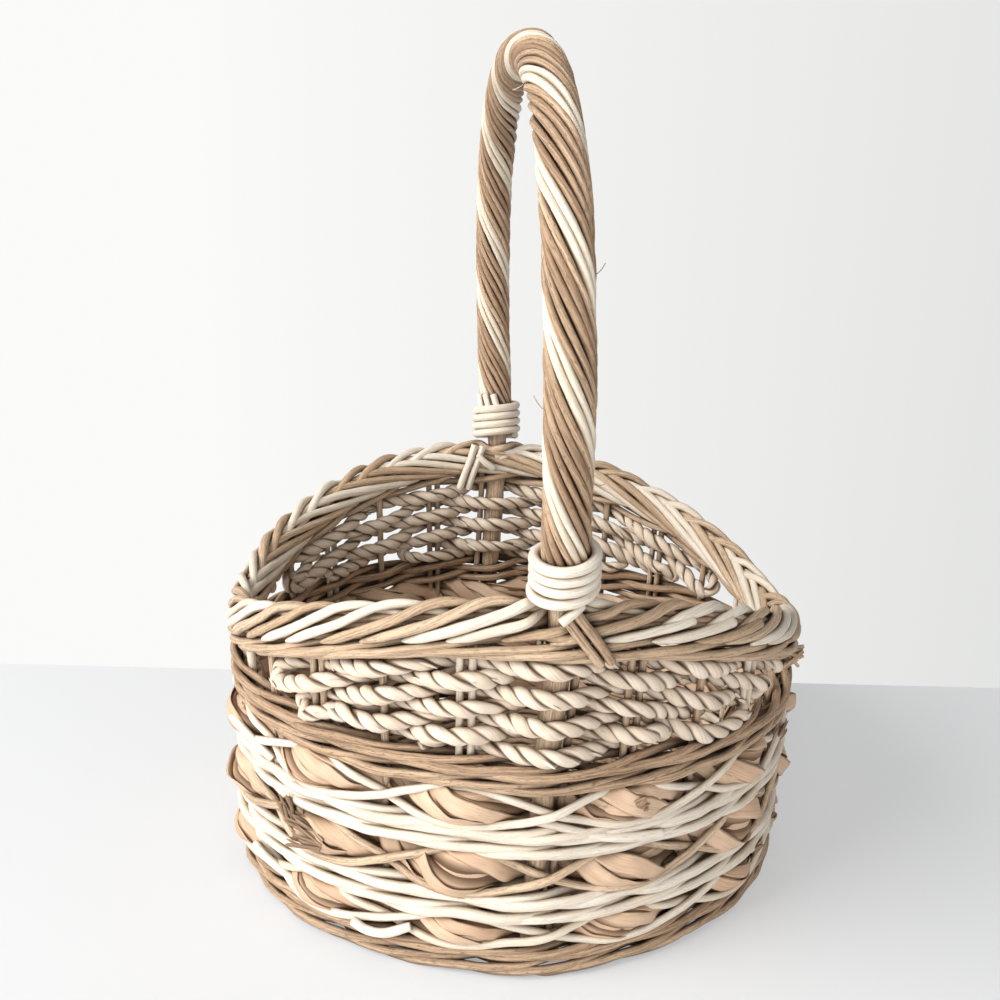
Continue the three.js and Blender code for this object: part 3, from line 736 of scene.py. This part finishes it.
def build_fitching(node, band, material):
    """Two rods that cross over each even stake, and loose ends that show beside the lobes."""
    bottom, height = band
    strands = Strands()
    for rod in range(2):
        spots = []
        for ke in range(BACK_STAKE, BACK_STAKE + STAKES, 2):
            over = pass_offset(ke, FITCH_DIAMETER, bottom)
            for dk, share, extra, out in RISING if (ke // 2 + rod) % 2 == 0 else FALLING:
                z = bottom + share * height + extra + rng.gauss(0, 0.25)
                spots.append((ke + dk, z, out + (over if abs(dk) < 0.1 else 0)))
        path = smooth_path(wall_points(spots), 2.0, closed=True)
        strands.rod(path, FITCH_DIAMETER, FITCH_DIAMETER * 0.9, wall_normals(path), closed=True, wobble=0.25)
    for spots in LOOSE_ENDS.get(node, ()):
        strands.rod(smooth_path(wall_points(spots), 1.5), 1.1 * FITCH_DIAMETER, flat_end=0.95, tone=0.0)
    strands.dress(node, material)


build_leaf_rope("lower_leaf_rope", LOWER_LEAF, 0.1)
build_leaf_rope("middle_leaf_rope", MIDDLE_LEAF, 0.35)
build_leaf_rope("upper_leaf_rope", UPPER_LEAF, 0.7)
build_fitching("lower_fitching_rod", LOWER_LEAF, CREAM)
build_fitching("middle_fitching_rod", MIDDLE_LEAF, TAN)
build_fitching("upper_fitching_rod", UPPER_LEAF, CREAM)


# Seagrass rope packing

# Where the rope starts, turns and ends, in stakes from the bow, and places along the wall with the
# lowest row at each.
SEAGRASS_ROWS = 7
FRONT_TURNS = (-1.5, 1.4, -2.6, 2.85, -3.2, 3.3, -3.72, 3.95)
FRONT_PLACES = (-3.6, -3.2, -3, -2.6, -1.8, -1.5, 1.4, 1.9, 2.85, 3.2)
BACK_TURNS = (-1.7, 1.5, -2.3, 3.2, -3.3, 4, -4.2, 4.6)
BACK_PLACES = (-3.8, -3.3, -2.8, -2.3, -2, -1.7, 1.5, 2.1, 3.2, 3.7)
LOWEST_ROWS = (5, 3, 3, 1, 1, 0, 0, 2, 2, 4)
SEAGRASS_SPACING = 9.4
SEAGRASS_PLIES = (0.76, 0.66)
ABOVE_DARK = 4
BELOW_RIM = 4.5

# A turn: share of the way up to the next row, and how far it bulges past the end, in stakes.
SEAGRASS_TURN = ((0, -0.05), (0.5, 0.1), (1, -0.05))
TURN_OUT = 0.45 * SEAGRASS_DIAMETER
TORN_STRIPS = 70
TORN_STAND_OFF = 0.53 * SEAGRASS_DIAMETER
TORN_TIP_LIFT = 1.3
TORN_SLANT = 4


def seagrass_path(middle_stake, turns, places):
    """To and fro in front of and behind the stakes, with a turn at the end of each row."""
    top_row = SEAGRASS_ROWS - 1

    def height(row, k):
        """Rows share the opening between the walings, and the lower ones end first."""
        low = DARK_TOP + ABOVE_DARK
        high = rim_waling_bottom(stake_angle(middle_stake + k)) - BELOW_RIM
        lowest = float(np.interp(k, places, LOWEST_ROWS))
        return high - (top_row - row) * min((high - low) / (top_row - lowest), SEAGRASS_SPACING)

    spots = [(turns[0], height(0, turns[0]), 3.0)]
    for row, (first, last) in enumerate(zip(turns, turns[1:])):
        step = 1 if last > first else -1
        k = math.ceil(first * step) * step
        while (last - k) * step > 0.12:
            side = 1 if (k + row) % 2 == 0 else -1
            spots.append((k, height(row, k), side * pass_offset(middle_stake + k, 0.85 * SEAGRASS_DIAMETER)))
            k += step
        if row < top_row:
            low = height(row, last)
            rise = height(row + 1, last) - low
            for share, bulge in SEAGRASS_TURN:
                spots.append((last + step * bulge, low + rise * share, side * TURN_OUT * (1 - 2 * share)))
    spots.append((last, height(top_row, last), 2.0))
    return smooth_path(wall_points([(middle_stake + k, z, out) for k, z, out in spots]), 1.4)


def torn_strip(strands, path, start, steps, side, width):
    """A loose strip of leaf that lies along the twist of a rope, with a tip that stands off."""
    line = path[start:start + steps]
    share = np.linspace(0, 1, len(line))[:, None]
    normals = side * wall_normals(line)
    to_the_right = np.dot(line[-1] - line[0], np.cross(UP, normals[0])) > 0
    fall = (share - 0.5) * (TORN_SLANT if to_the_right else -TORN_SLANT)
    line = line + normals * (TORN_STAND_OFF + TORN_TIP_LIFT * share**2) - fall * UP
    length = lengths_along(line)[-1]
    strands.rod(line, width, 0.5, normals, sides=6, taper=(0.4 * length, 0.6 * length))


def build_seagrass(node, middle_stake, turns, places):
    path = seagrass_path(middle_stake, turns, places)
    size = 1 + 0.15 * waves(lengths_along(path), 90)
    strands = Strands()
    strands.rope(path, SEAGRASS_DIAMETER, SEAGRASS_DIAMETER, SEAGRASS_PITCH, SEAGRASS_PLIES,
                 wall_normals(path), size, wander=0.11)
    for _ in range(TORN_STRIPS):
        start = rng.randrange(len(path) - 8)
        torn_strip(strands, path, start, rng.randint(5, 8), rng.choice((-1, 1)), rng.uniform(1.6, 2.8))
    strands.dress(node, SEAGRASS)


build_seagrass("front_seagrass_rope", 0, FRONT_TURNS, FRONT_PLACES)
build_seagrass("back_seagrass_rope", BACK_STAKE, BACK_TURNS, BACK_PLACES)


# Stakes: single rods, pairs at the odd stakes, and a rod beside each foot of the bow

PAIR_ROD_DIAMETER = 3.9
PAIR_SHIFTS = (-2.2, 2.6)
PAIR_SPREAD = 0.5
BESIDE_BOW_SHIFT = BOW_RIM_RADIUS + STAKE_DIAMETER / 2 + 0.6

# Height and stand-off along the bent foot, and shares of the way up from there.
STAKE_FOOT = ((2.4, -33), (2.4, -9), (4.5, -2), (14, 0))
STAKE_SHARES = (0.25, 0.5, 0.75, 1)
STAKE_TOP_BELOW_BORDER = 3


def build_stake(k):
    diameter, shifts = STAKE_DIAMETER, (0.0,)
    if is_bow(k):
        shifts = (BESIDE_BOW_SHIFT,)
    elif k % 2 == 1:
        diameter, shifts = PAIR_ROD_DIAMETER, PAIR_SHIFTS
    angle = stake_angle(k)
    top = rim_top(angle) - BORDER_HEIGHT / 2 - STAKE_TOP_BELOW_BORDER
    foot_top = STAKE_FOOT[-1][0]
    strands = Strands()
    for i, shift in enumerate(shifts):
        turn = shift / FOOT_HALF_LENGTH
        points = [wall_point(angle + turn, z, out) for z, out in STAKE_FOOT]
        for share in STAKE_SHARES:
            spread_angle = angle + turn * (1 + PAIR_SPREAD * share * i)
            points.append(wall_point(spread_angle, foot_top + (top - foot_top) * share, 0))
        if is_bow(k):
            points = [p + (bow_x(p[2]), 0, 0) for p in points]
        strands.rod(smooth_path(points, 3.5), diameter, wobble=0.15, tone=rng.uniform(0, 0.6))
    strands.dress("stake_%02d" % (k + 1), CREAM if k % 4 == 3 else TAN)


for stake in range(STAKES):
    build_stake(stake)


# Border: rods rise outside to the ridge, arch over it and go down inside, where the others rise

BORDER_OUT = 9.6
BORDER_DROP = 12.8
BORDER_WRAP = math.radians(100)
BORDER_RODS = 44
BORDER_FIRST_TIP = -1.66
UNEVEN_SPACING = 0.045
UNEVEN_LIFT = 0.24
BORDER_CORE_DIAMETER = 4.4

# Strokes: stakes from the tip, place across the border and lift off it. The cores give the last two.
OUTER_STROKE = ((-0.06, 1, -0.6), (0.22, 0.87, 0.3), (0.52, 0.73, 0.7), (0.82, 0.57, 0.8),
                (1.08, 0.37, 1.3), (1.3, 0.15, 2.4), (1.52, -0.02, 2.4), (1.76, -0.2, 0.6),
                (2, -0.4, -1.6), (2.3, -0.62, -4))
INNER_STROKE = ((0, -1.06, -1.2), (0.4, -0.95, 0.1), (0.85, -0.82, 0.9), (1.25, -0.66, 1.2),
                (1.62, -0.48, 1), (1.95, -0.3, 0), (2.2, -0.12, -1.6), (2.42, 0.06, -3.8))
CUT_STROKE = ((-0.06, 1, -0.6), (0.25, 0.87, 0.4), (0.55, 0.74, 1), (0.85, 0.6, 1.5), (1.08, 0.48, 1.7))
REST_OF_CUT = ((0.66, 0.62, -2), (0.92, 0.38, 0.2)) + OUTER_STROKE[5:]
BORDER_CORES = ((-0.3, -4.4), (0.22, -4.2), (0.55, -4), (0.85, -3.8))

# The outer strokes that are two rods: one is cut off, and one goes on from there.
CUT_STROKES = (4, 5, 6)

# Beside the bow: how near a strand makes room, and where across the border it changes sides.
BOW_ROOM_REACH = 9.5
BOW_SIDE_CHANGE = 0.6
BOW_SIDE_SOFTNESS = 0.06


def border_point(k, across, lift):
    """A point over the rim: across runs from -1 inside through 0 on top to 1 outside."""
    angle = stake_angle(k)
    turn = across * BORDER_WRAP
    radius = BORDER_ROD_DIAMETER / 2
    out = (BORDER_OUT - radius + lift) * np.sin(turn)
    drop = (BORDER_DROP + lift) * np.cos(turn) - BORDER_DROP - radius
    point = wall_point(angle, rim_top(angle) + drop, out)
    return leave_room_for_bow(point, across)


def leave_room_for_bow(point, across):
    """Beside the bow, strands high on the border pass inside it and low ones outside."""
    x, y, z = point
    front = -1 if y < 0 else 1
    out = front * y - (FOOT_HALF_WIDTH + RIM_FLARE)
    near = math.exp(-((x - bow_x(z)) / BOW_ROOM_REACH) ** 4)
    room = BOW_RIM_RADIUS + BORDER_ROD_DIAMETER / 2
    low = 0.5 + 0.5 * math.tanh((across - BOW_SIDE_CHANGE) / BOW_SIDE_SOFTNESS)
    goal = low * max(out, room) + (1 - low) * min(out, -room)
    return np.array([x, front * (FOOT_HALF_WIDTH + RIM_FLARE + out + near * (goal - out)), z])


def border_rod(strands, place, stroke):
    path = smooth_path([border_point(place + dk, across, lift + rng.gauss(0, UNEVEN_LIFT))
                        for dk, across, lift in stroke], 2.0)
    angle = np.arctan2(path[:, 1] / FOOT_HALF_WIDTH, path[:, 0] / FOOT_HALF_LENGTH)
    normals = path - wall_point(angle, rim_top(angle) - BORDER_HEIGHT / 2)
    strands.rod(path, BORDER_ROD_DIAMETER * rng.uniform(0.86, 1.1), normals=normals, taper=(13.0, 0.0),
                wobble=0.2, flat_end=0.8)


def build_border():
    """Pairs of cream and tan rods in turn, round a core of closed rods."""
    cream, tan = Strands(), Strands()
    spacing = STAKES / BORDER_RODS
    for i in range(BORDER_RODS):
        place = BORDER_FIRST_TIP + i * spacing + rng.gauss(0, UNEVEN_SPACING)
        for stroke in (CUT_STROKE, REST_OF_CUT) if i in CUT_STROKES else (OUTER_STROKE,):
            border_rod(cream if i % 4 < 2 else tan, place, stroke)
        border_rod(cream if (i + 1) % 4 < 2 else tan, place + spacing / 2, INNER_STROKE)
    for across, lift in BORDER_CORES:
        points = [border_point(k, across, lift) for k in np.arange(0, STAKES, 0.25)]
        path = smooth_path(points, 4.0, closed=True)
        tan.rod(path, BORDER_CORE_DIAMETER, normals=wall_normals(path), closed=True, wobble=0.4, tone=1.0)
    cream.dress("border_cream_rods", CREAM)
    tan.dress("border_tan_rods", TAN)


build_border()


# Handle

HANDLE_ROD_COUNT = 14
HANDLE_TWIST_PITCH = 125
HANDLE_ROD_WIDTH = 3.9
HANDLE_ROD_DEPTH = 5.2
HANDLE_RODS = {
    "handle_cream_rods_a": (0, 1),
    "handle_brown_rods_a": (2, 3, 4, 5, 6),
    "handle_cream_rods_b": (7, 8),
    "handle_brown_rods_b": (9, 10, 11, 12, 13),
}

# A collar: a coil of one rod, whose first front turn hangs loose and whose last end is tucked in.
COLLAR_ROD_DIAMETER = 5.3
COLLAR_RADIUS = HANDLE_DIAMETER / 2 + COLLAR_ROD_DIAMETER / 2 - 0.1
COLLAR_START = 3.7
COLLAR_PITCH = 5.35
COLLAR_FIRST_TURN = 0.3
COLLAR_TURNS = 4.5
LOOSE_TURN = 0.8
LOOSE_SPAN = 0.16
LOOSE_DROP = 1.4
LOOSE_REACH = 0.8
TUCK_FROM = COLLAR_TURNS - 0.15
TUCK_SPAN = 0.25
TUCK_DEPTH = 4

# Cut rods by the collars: stake number, height and stand-off of their points.
COLLAR_TAIL = ((0.2, 210.5, 13), (0.12, 208, 15.6), (-0.01, 203.6, 17.2))
BACK_COLLAR_STUB = ((12.3, 203, -14.5), (12.2, 198.5, -15.5), (12.02, 193.5, -15))
LASHING = {
    "front_lashing_rod_1":
        ((0.03, 206, 14.5), (0.14, 198.5, 14.4), (0.29, 189.5, 13.6), (0.45, 180, 12.8)),
    "front_lashing_rod_2":
        ((0.13, 208, 14.5), (0.23, 202, 14.4), (0.4, 192, 13.6), (0.57, 181, 12.8)),
    "back_lashing_rod_1":
        ((12.36, 209, -12.5), (12.44, 199, -13.8), (12.54, 188, -12.8), (12.61, 178.5, -11)),
    "back_lashing_rod_2":
        ((12.22, 208, -12.5), (12.31, 198, -13.8), (12.4, 187.5, -12.8), (12.46, 178, -11)),
}
LASHING_DIAMETER = 4.7

# Cut tips on top of the back collar: their angles round the handle.
BACK_COLLAR_TIPS = (1.1, 1.55, 2)
TIP_DIAMETER = 4.2
STUB_DIAMETER = 4.6

# Thin fibres that stand off the handle: length along the arch, angle round it, and slant.
FIBRES = ((196, 2.1, 0.7), (150, 0.2, 0.5), (228, 1, -0.6), (95, 3.4, 0.8), (262, 2.6, -0.4),
          (60, 0.1, -0.7))
FIBRE_DIAMETER = 0.45
FIBRE_STAND_OFF = np.array([-1, 1.2, 3.2, 5])
FIBRE_BEND = np.array([0, 0, 0.8, 2.5])


def bezier(p0, p1, p2, p3, t):
    u = 1 - t
    return u**3 * p0 + 3 * u**2 * t * p1 + 3 * u * t**2 * p2 + t**3 * p3


def arch_path():
    """The middle line of the handle from the front rim to the back one."""
    rim_y = FOOT_HALF_WIDTH + RIM_FLARE
    crown = HANDLE_TOP - HANDLE_DIAMETER / 2

    def lean(y, z):
        share = (z - RIM_MIDDLE_TOP) / (crown - RIM_MIDDLE_TOP)
        return np.array([HANDLE_FOOT_SHIFT - HANDLE_LEAN * share**HANDLE_LEAN_POWER, y, z])

    t = np.linspace(0, 1, 80)[:, None]
    front = bezier(lean(-rim_y, RIM_MIDDLE_TOP), lean(-SHOULDER[0], SHOULDER[1]),
                   lean(-CROWN_REACH, crown), lean(0, crown), t)
    back = front[::-1] * np.array([1, -1, 1])
    return np.concatenate([front, back[1:]])


ARCH = arch_path()
ARCH_AT = lengths_along(ARCH)
ARCH_LENGTH = ARCH_AT[-1]


def handle_frame(along):
    """Centre, across and inward directions at lengths along the arch."""
    inside = np.clip(along, 0, ARCH_LENGTH)
    centre, t = (np.stack([np.interp(inside, ARCH_AT, column) for column in values.T], -1)
                 for values in (ARCH, tangents_of(ARCH, False)))
    t = unit(t)
    inward = unit(np.cross(t, (1, 0, 0)))
    return centre + t * (along - inside)[:, None], np.cross(inward, t), inward


def handle_path(along, radius, angle):
    """Points round the handle, and the directions in which they lie from its middle."""
    centre, across, inward = handle_frame(along)
    spoke = np.cos(angle)[:, None] * across + np.sin(angle)[:, None] * inward
    return centre + np.broadcast_to(radius, len(spoke))[:, None] * spoke, spoke


def build_handle_rods(node, rods):
    cream = "cream" in node
    radius = HANDLE_DIAMETER / 2 - HANDLE_ROD_DEPTH / 2 - 0.2
    along = np.arange(COLLAR_START + 2, ARCH_LENGTH - COLLAR_START - 2, 3.0)
    strands = Strands()
    for rod in rods:
        drift = 0.06 * waves(along, 170)
        angle = FULL_TURN * ((rod + 0.5) / HANDLE_ROD_COUNT - along / HANDLE_TWIST_PITCH) + drift
        path, spoke = handle_path(along, radius + 0.35 * waves(along, 90), angle)
        tone = rng.uniform(0.75, 1.0) if cream else rng.random()
        # Painted shade on all but the outer face of each rod darkens the lines between the handle rods.
        strands.rod(path, HANDLE_ROD_WIDTH * rng.uniform(0.9, 1.1), HANDLE_ROD_DEPTH, spoke, wobble=0.15,
                    sides=14, crease_from=0.7, tone=tone)
    strands.dress(node, CREAM if cream else BROWN)


def build_bow():
    """The stick inside the handle, down through the wall on both sides."""
    heights = np.linspace(6, RIM_MIDDLE_TOP - 4, 26)
    leg = wall_point(FRONT, heights, 0)
    leg[:, 0] += bow_x(heights)
    arch = handle_frame(np.arange(0, ARCH_LENGTH, 6.0))[0]
    path = smooth_path(np.concatenate([leg, arch, (leg * np.array([1, -1, 1]))[::-1]]), 6.0)
    strands = Strands()
    strands.rod(path, 2 * bow_radius(path[:, 2]), sides=20, tone=0.2)
    strands.dress("handle_bow", TAN)


def build_collar(node, at_back):
    turned = np.linspace(COLLAR_FIRST_TURN, COLLAR_TURNS + 0.1, 260)
    along = COLLAR_START + np.clip(turned, 0, COLLAR_TURNS) * COLLAR_PITCH
    angle = FRONT + turned * FULL_TURN
    loose = np.exp(-((turned - LOOSE_TURN) / LOOSE_SPAN) ** 2)
    tuck = np.clip((turned - TUCK_FROM) / TUCK_SPAN, 0, 1) * TUCK_DEPTH
    strands = Strands()
    if at_back:
        path, spoke = handle_path(ARCH_LENGTH - along, COLLAR_RADIUS - tuck, -angle)
    else:
        radius = COLLAR_RADIUS + LOOSE_REACH * loose - tuck
        path, spoke = handle_path(along - LOOSE_DROP * loose, radius, angle)
    strands.rod(path, COLLAR_ROD_DIAMETER, normals=spoke, sides=14, wobble=0.12, tone=0.3)
    if at_back:
        short_rod(strands, BACK_COLLAR_STUB, STUB_DIAMETER, tone=0.1)
        top = COLLAR_START + COLLAR_TURNS * COLLAR_PITCH
        poke = np.linspace(top - 4, top + 7, 8)
        for tip_angle in BACK_COLLAR_TIPS:
            line, spoke = handle_path(ARCH_LENGTH - poke, COLLAR_RADIUS - 1.2, tip_angle + 0.02 * poke)
            strands.rod(line, TIP_DIAMETER, normals=spoke, flat_end=0.9, tone=0.1)
    else:
        short_rod(strands, COLLAR_TAIL, 0.9 * COLLAR_ROD_DIAMETER, tone=0.3)
    strands.dress(node, CREAM)


def short_rod(strands, spots, diameter, **options):
    strands.rod(smooth_path(wall_points(spots), 1.5), diameter, flat_end=0.9, **options)


def build_fibres():
    strands = Strands()
    for along, angle, slant in FIBRES:
        places = along + slant * FIBRE_STAND_OFF + FIBRE_BEND
        path, _ = handle_path(places, HANDLE_DIAMETER / 2 + FIBRE_STAND_OFF, np.full(len(places), angle))
        strands.rod(smooth_path(path, 1.0), FIBRE_DIAMETER, sides=6, tone=0.3)
    strands.make("stray_fibres", TAN)


def build_lashing(node, spots):
    front = node.startswith("front")
    strands = Strands()
    short_rod(strands, spots, LASHING_DIAMETER, tone=0.0 if front else 0.2, wobble=0.1)
    strands.dress(node, BROWN if front else CREAM)


for node_name, handle_rods in HANDLE_RODS.items():
    build_handle_rods(node_name, handle_rods)
build_bow()
build_collar("front_collar", at_back=False)
build_collar("back_collar", at_back=True)
build_fibres()
for node_name, lashing_spots in LASHING.items():
    build_lashing(node_name, lashing_spots)


# Base

BASE_HALF = (147, 126.1)
BASE_THICKNESS = 9.5
BASE_RINGS = 30
BASE_SPOKES = 32
BASE_ROD_HEIGHT = 4.2
BASE_ROD_WIDTH = BASE_HALF[0] / BASE_RINGS * 0.98
BASE_WAVE = 2


def build_base():
    """Weavers laid oval by oval, in waves as over and under spokes."""
    strands = Strands()
    for ring in range(BASE_RINGS):
        share = (ring + 0.6) / BASE_RINGS
        count = max(24, int(BASE_SPOKES * 4 * max(share, 0.3)))
        turn = np.linspace(0, FULL_TURN, count, endpoint=False)
        height = BASE_THICKNESS / 2 + BASE_WAVE * np.cos(turn * BASE_SPOKES / 2 + math.pi * ring)
        a, b = BASE_HALF[0] * share, BASE_HALF[1] * share
        path = np.stack([a * np.cos(turn), b * np.sin(turn), height], -1)
        strands.rod(path, BASE_ROD_HEIGHT, BASE_ROD_WIDTH, wall_normals(path), closed=True, sides=8)
    strands.dress("base_mat", TAN)


build_base()
for node_name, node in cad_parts.items():
    if node_name.startswith(("base_long", "base_cross")):
        node.data.materials.clear()
        node.data.materials.append(BROWN)


# Camera, floor and light

FLOOR_REACH = 4.0
FLOOR_COLOUR = (0.85, 0.86, 0.88)
FLOOR_GLOW = 0.4
FLOOR_GLOW_COLOUR = (0.94, 0.95, 0.96)

# The pale wall behind: its y at the middle, how far it turns, and where its painted shade runs from and to.
WALL_Y = 0.195
WALL_SLOPE = -0.108
WALL_SHADE_X = (-0.2, 0.5)
WALL_LEFT = (0.96, 0.96, 0.945)
WALL_RIGHT = (0.74, 0.75, 0.74)

BACKGROUND_COLOUR = (0.88, 0.88, 0.87)
WORLD_COLOUR = (0.99, 0.98, 0.965)
WORLD_STRENGTH = 0.31
LIGHT_AIM = Vector((0, 0, 0.15))


def place_camera():
    """Looks along y, turned by the yaw, tipped down by the pitch and rolled."""
    data = bpy.data.cameras.new("camera")
    data.sensor_width = 36
    data.lens = FOCAL_SHARE * data.sensor_width
    data.clip_start, data.clip_end = 0.01, 50
    camera = add_object("camera", data)
    camera.matrix_world = (
        Matrix.Translation(Vector(CAMERA_PLACE) * MM) @ Matrix.Rotation(-CAMERA_YAW, 4, "Z")
        @ Matrix.Rotation(math.pi / 2 - CAMERA_PITCH, 4, "X") @ Matrix.Rotation(CAMERA_ROLL, 4, "Z")
    )
    bpy.context.scene.camera = camera


def add_stage(name, corners, material):
    """A flat sheet of the surroundings."""
    mesh = bpy.data.meshes.new(name)
    mesh.from_pydata(corners, [], [(0, 1, 2, 3)])
    mesh.materials.append(material)
    add_object(name, mesh)


def floor_material():
    """Pale and matt, with the object's shadow. Towards the camera it also glows a little."""
    m = Nodes(bpy.data.materials.new("pale_floor"))
    m.feed(m.shader, {"Base Color": FLOOR_COLOUR, "Roughness": 0.95, "Specular IOR Level": 0.1})
    glow = m.add("Emission", {"Color": FLOOR_GLOW_COLOUR})
    m.show_mix(m.math("MULTIPLY", m.seen_rays(), FLOOR_GLOW), m.shader, glow)
    return m.owner


def backdrop_material():
    """A pale glow that only the camera sees, and only from the front, with painted shade that darkens it to
    the right.
    """
    m = Nodes(bpy.data.materials.new("pale_backdrop"))
    place = m.add("TexCoord").outputs["Object"]
    x = m.add("SeparateXYZ", {"Vector": place}).outputs["X"]
    left, right = WALL_SHADE_X
    across = m.add("MapRange", {"Value": x, "From Min": left, "From Max": right}).outputs["Result"]
    glow = m.add("Emission", {"Color": m.mix(across, WALL_LEFT, WALL_RIGHT)})
    behind = m.add("NewGeometry").outputs["Backfacing"]
    m.show_mix(m.math("SUBTRACT", m.seen_rays(), behind), m.add("BsdfTransparent"), glow)
    return m.owner


def light_world():
    """Soft grey light from all round, and a pale background for the camera."""
    world = bpy.data.worlds.new("studio")
    bpy.context.scene.world = world
    w = Nodes(world, "Background")
    w.feed(w.shader, {"Color": WORLD_COLOUR, "Strength": WORLD_STRENGTH})
    w.show_mix(w.seen_rays(), w.shader, w.add("Background", {"Color": BACKGROUND_COLOUR}))


def add_light(name, place, size, power, colour=(1, 1, 1)):
    data = bpy.data.lights.new(name, "AREA")
    data.shape = "DISK"
    data.size = size
    data.energy = power
    data.color = colour
    light = add_object(name, data)
    light.location = place
    light.rotation_euler = (LIGHT_AIM - Vector(place)).to_track_quat("-Z", "Y").to_euler()


place_camera()
far = FLOOR_REACH
add_stage("floor", [(-far, -far, 0), (far, -far, 0), (far, far, 0), (-far, far, 0)], floor_material())
left_y, right_y = WALL_Y - WALL_SLOPE * far, WALL_Y + WALL_SLOPE * far
add_stage("backdrop", [(-far, left_y, 0), (far, right_y, 0), (far, right_y, far), (-far, left_y, far)],
          backdrop_material())
light_world()
add_light("key", place=(-1.65, -0.6, 1.35), size=1.5, power=46, colour=(1.0, 0.99, 0.97))
add_light("fill", place=(-0.5, -1.9, 0.45), size=0.9, power=15)
bpy.context.scene.view_settings.view_transform = "Standard"
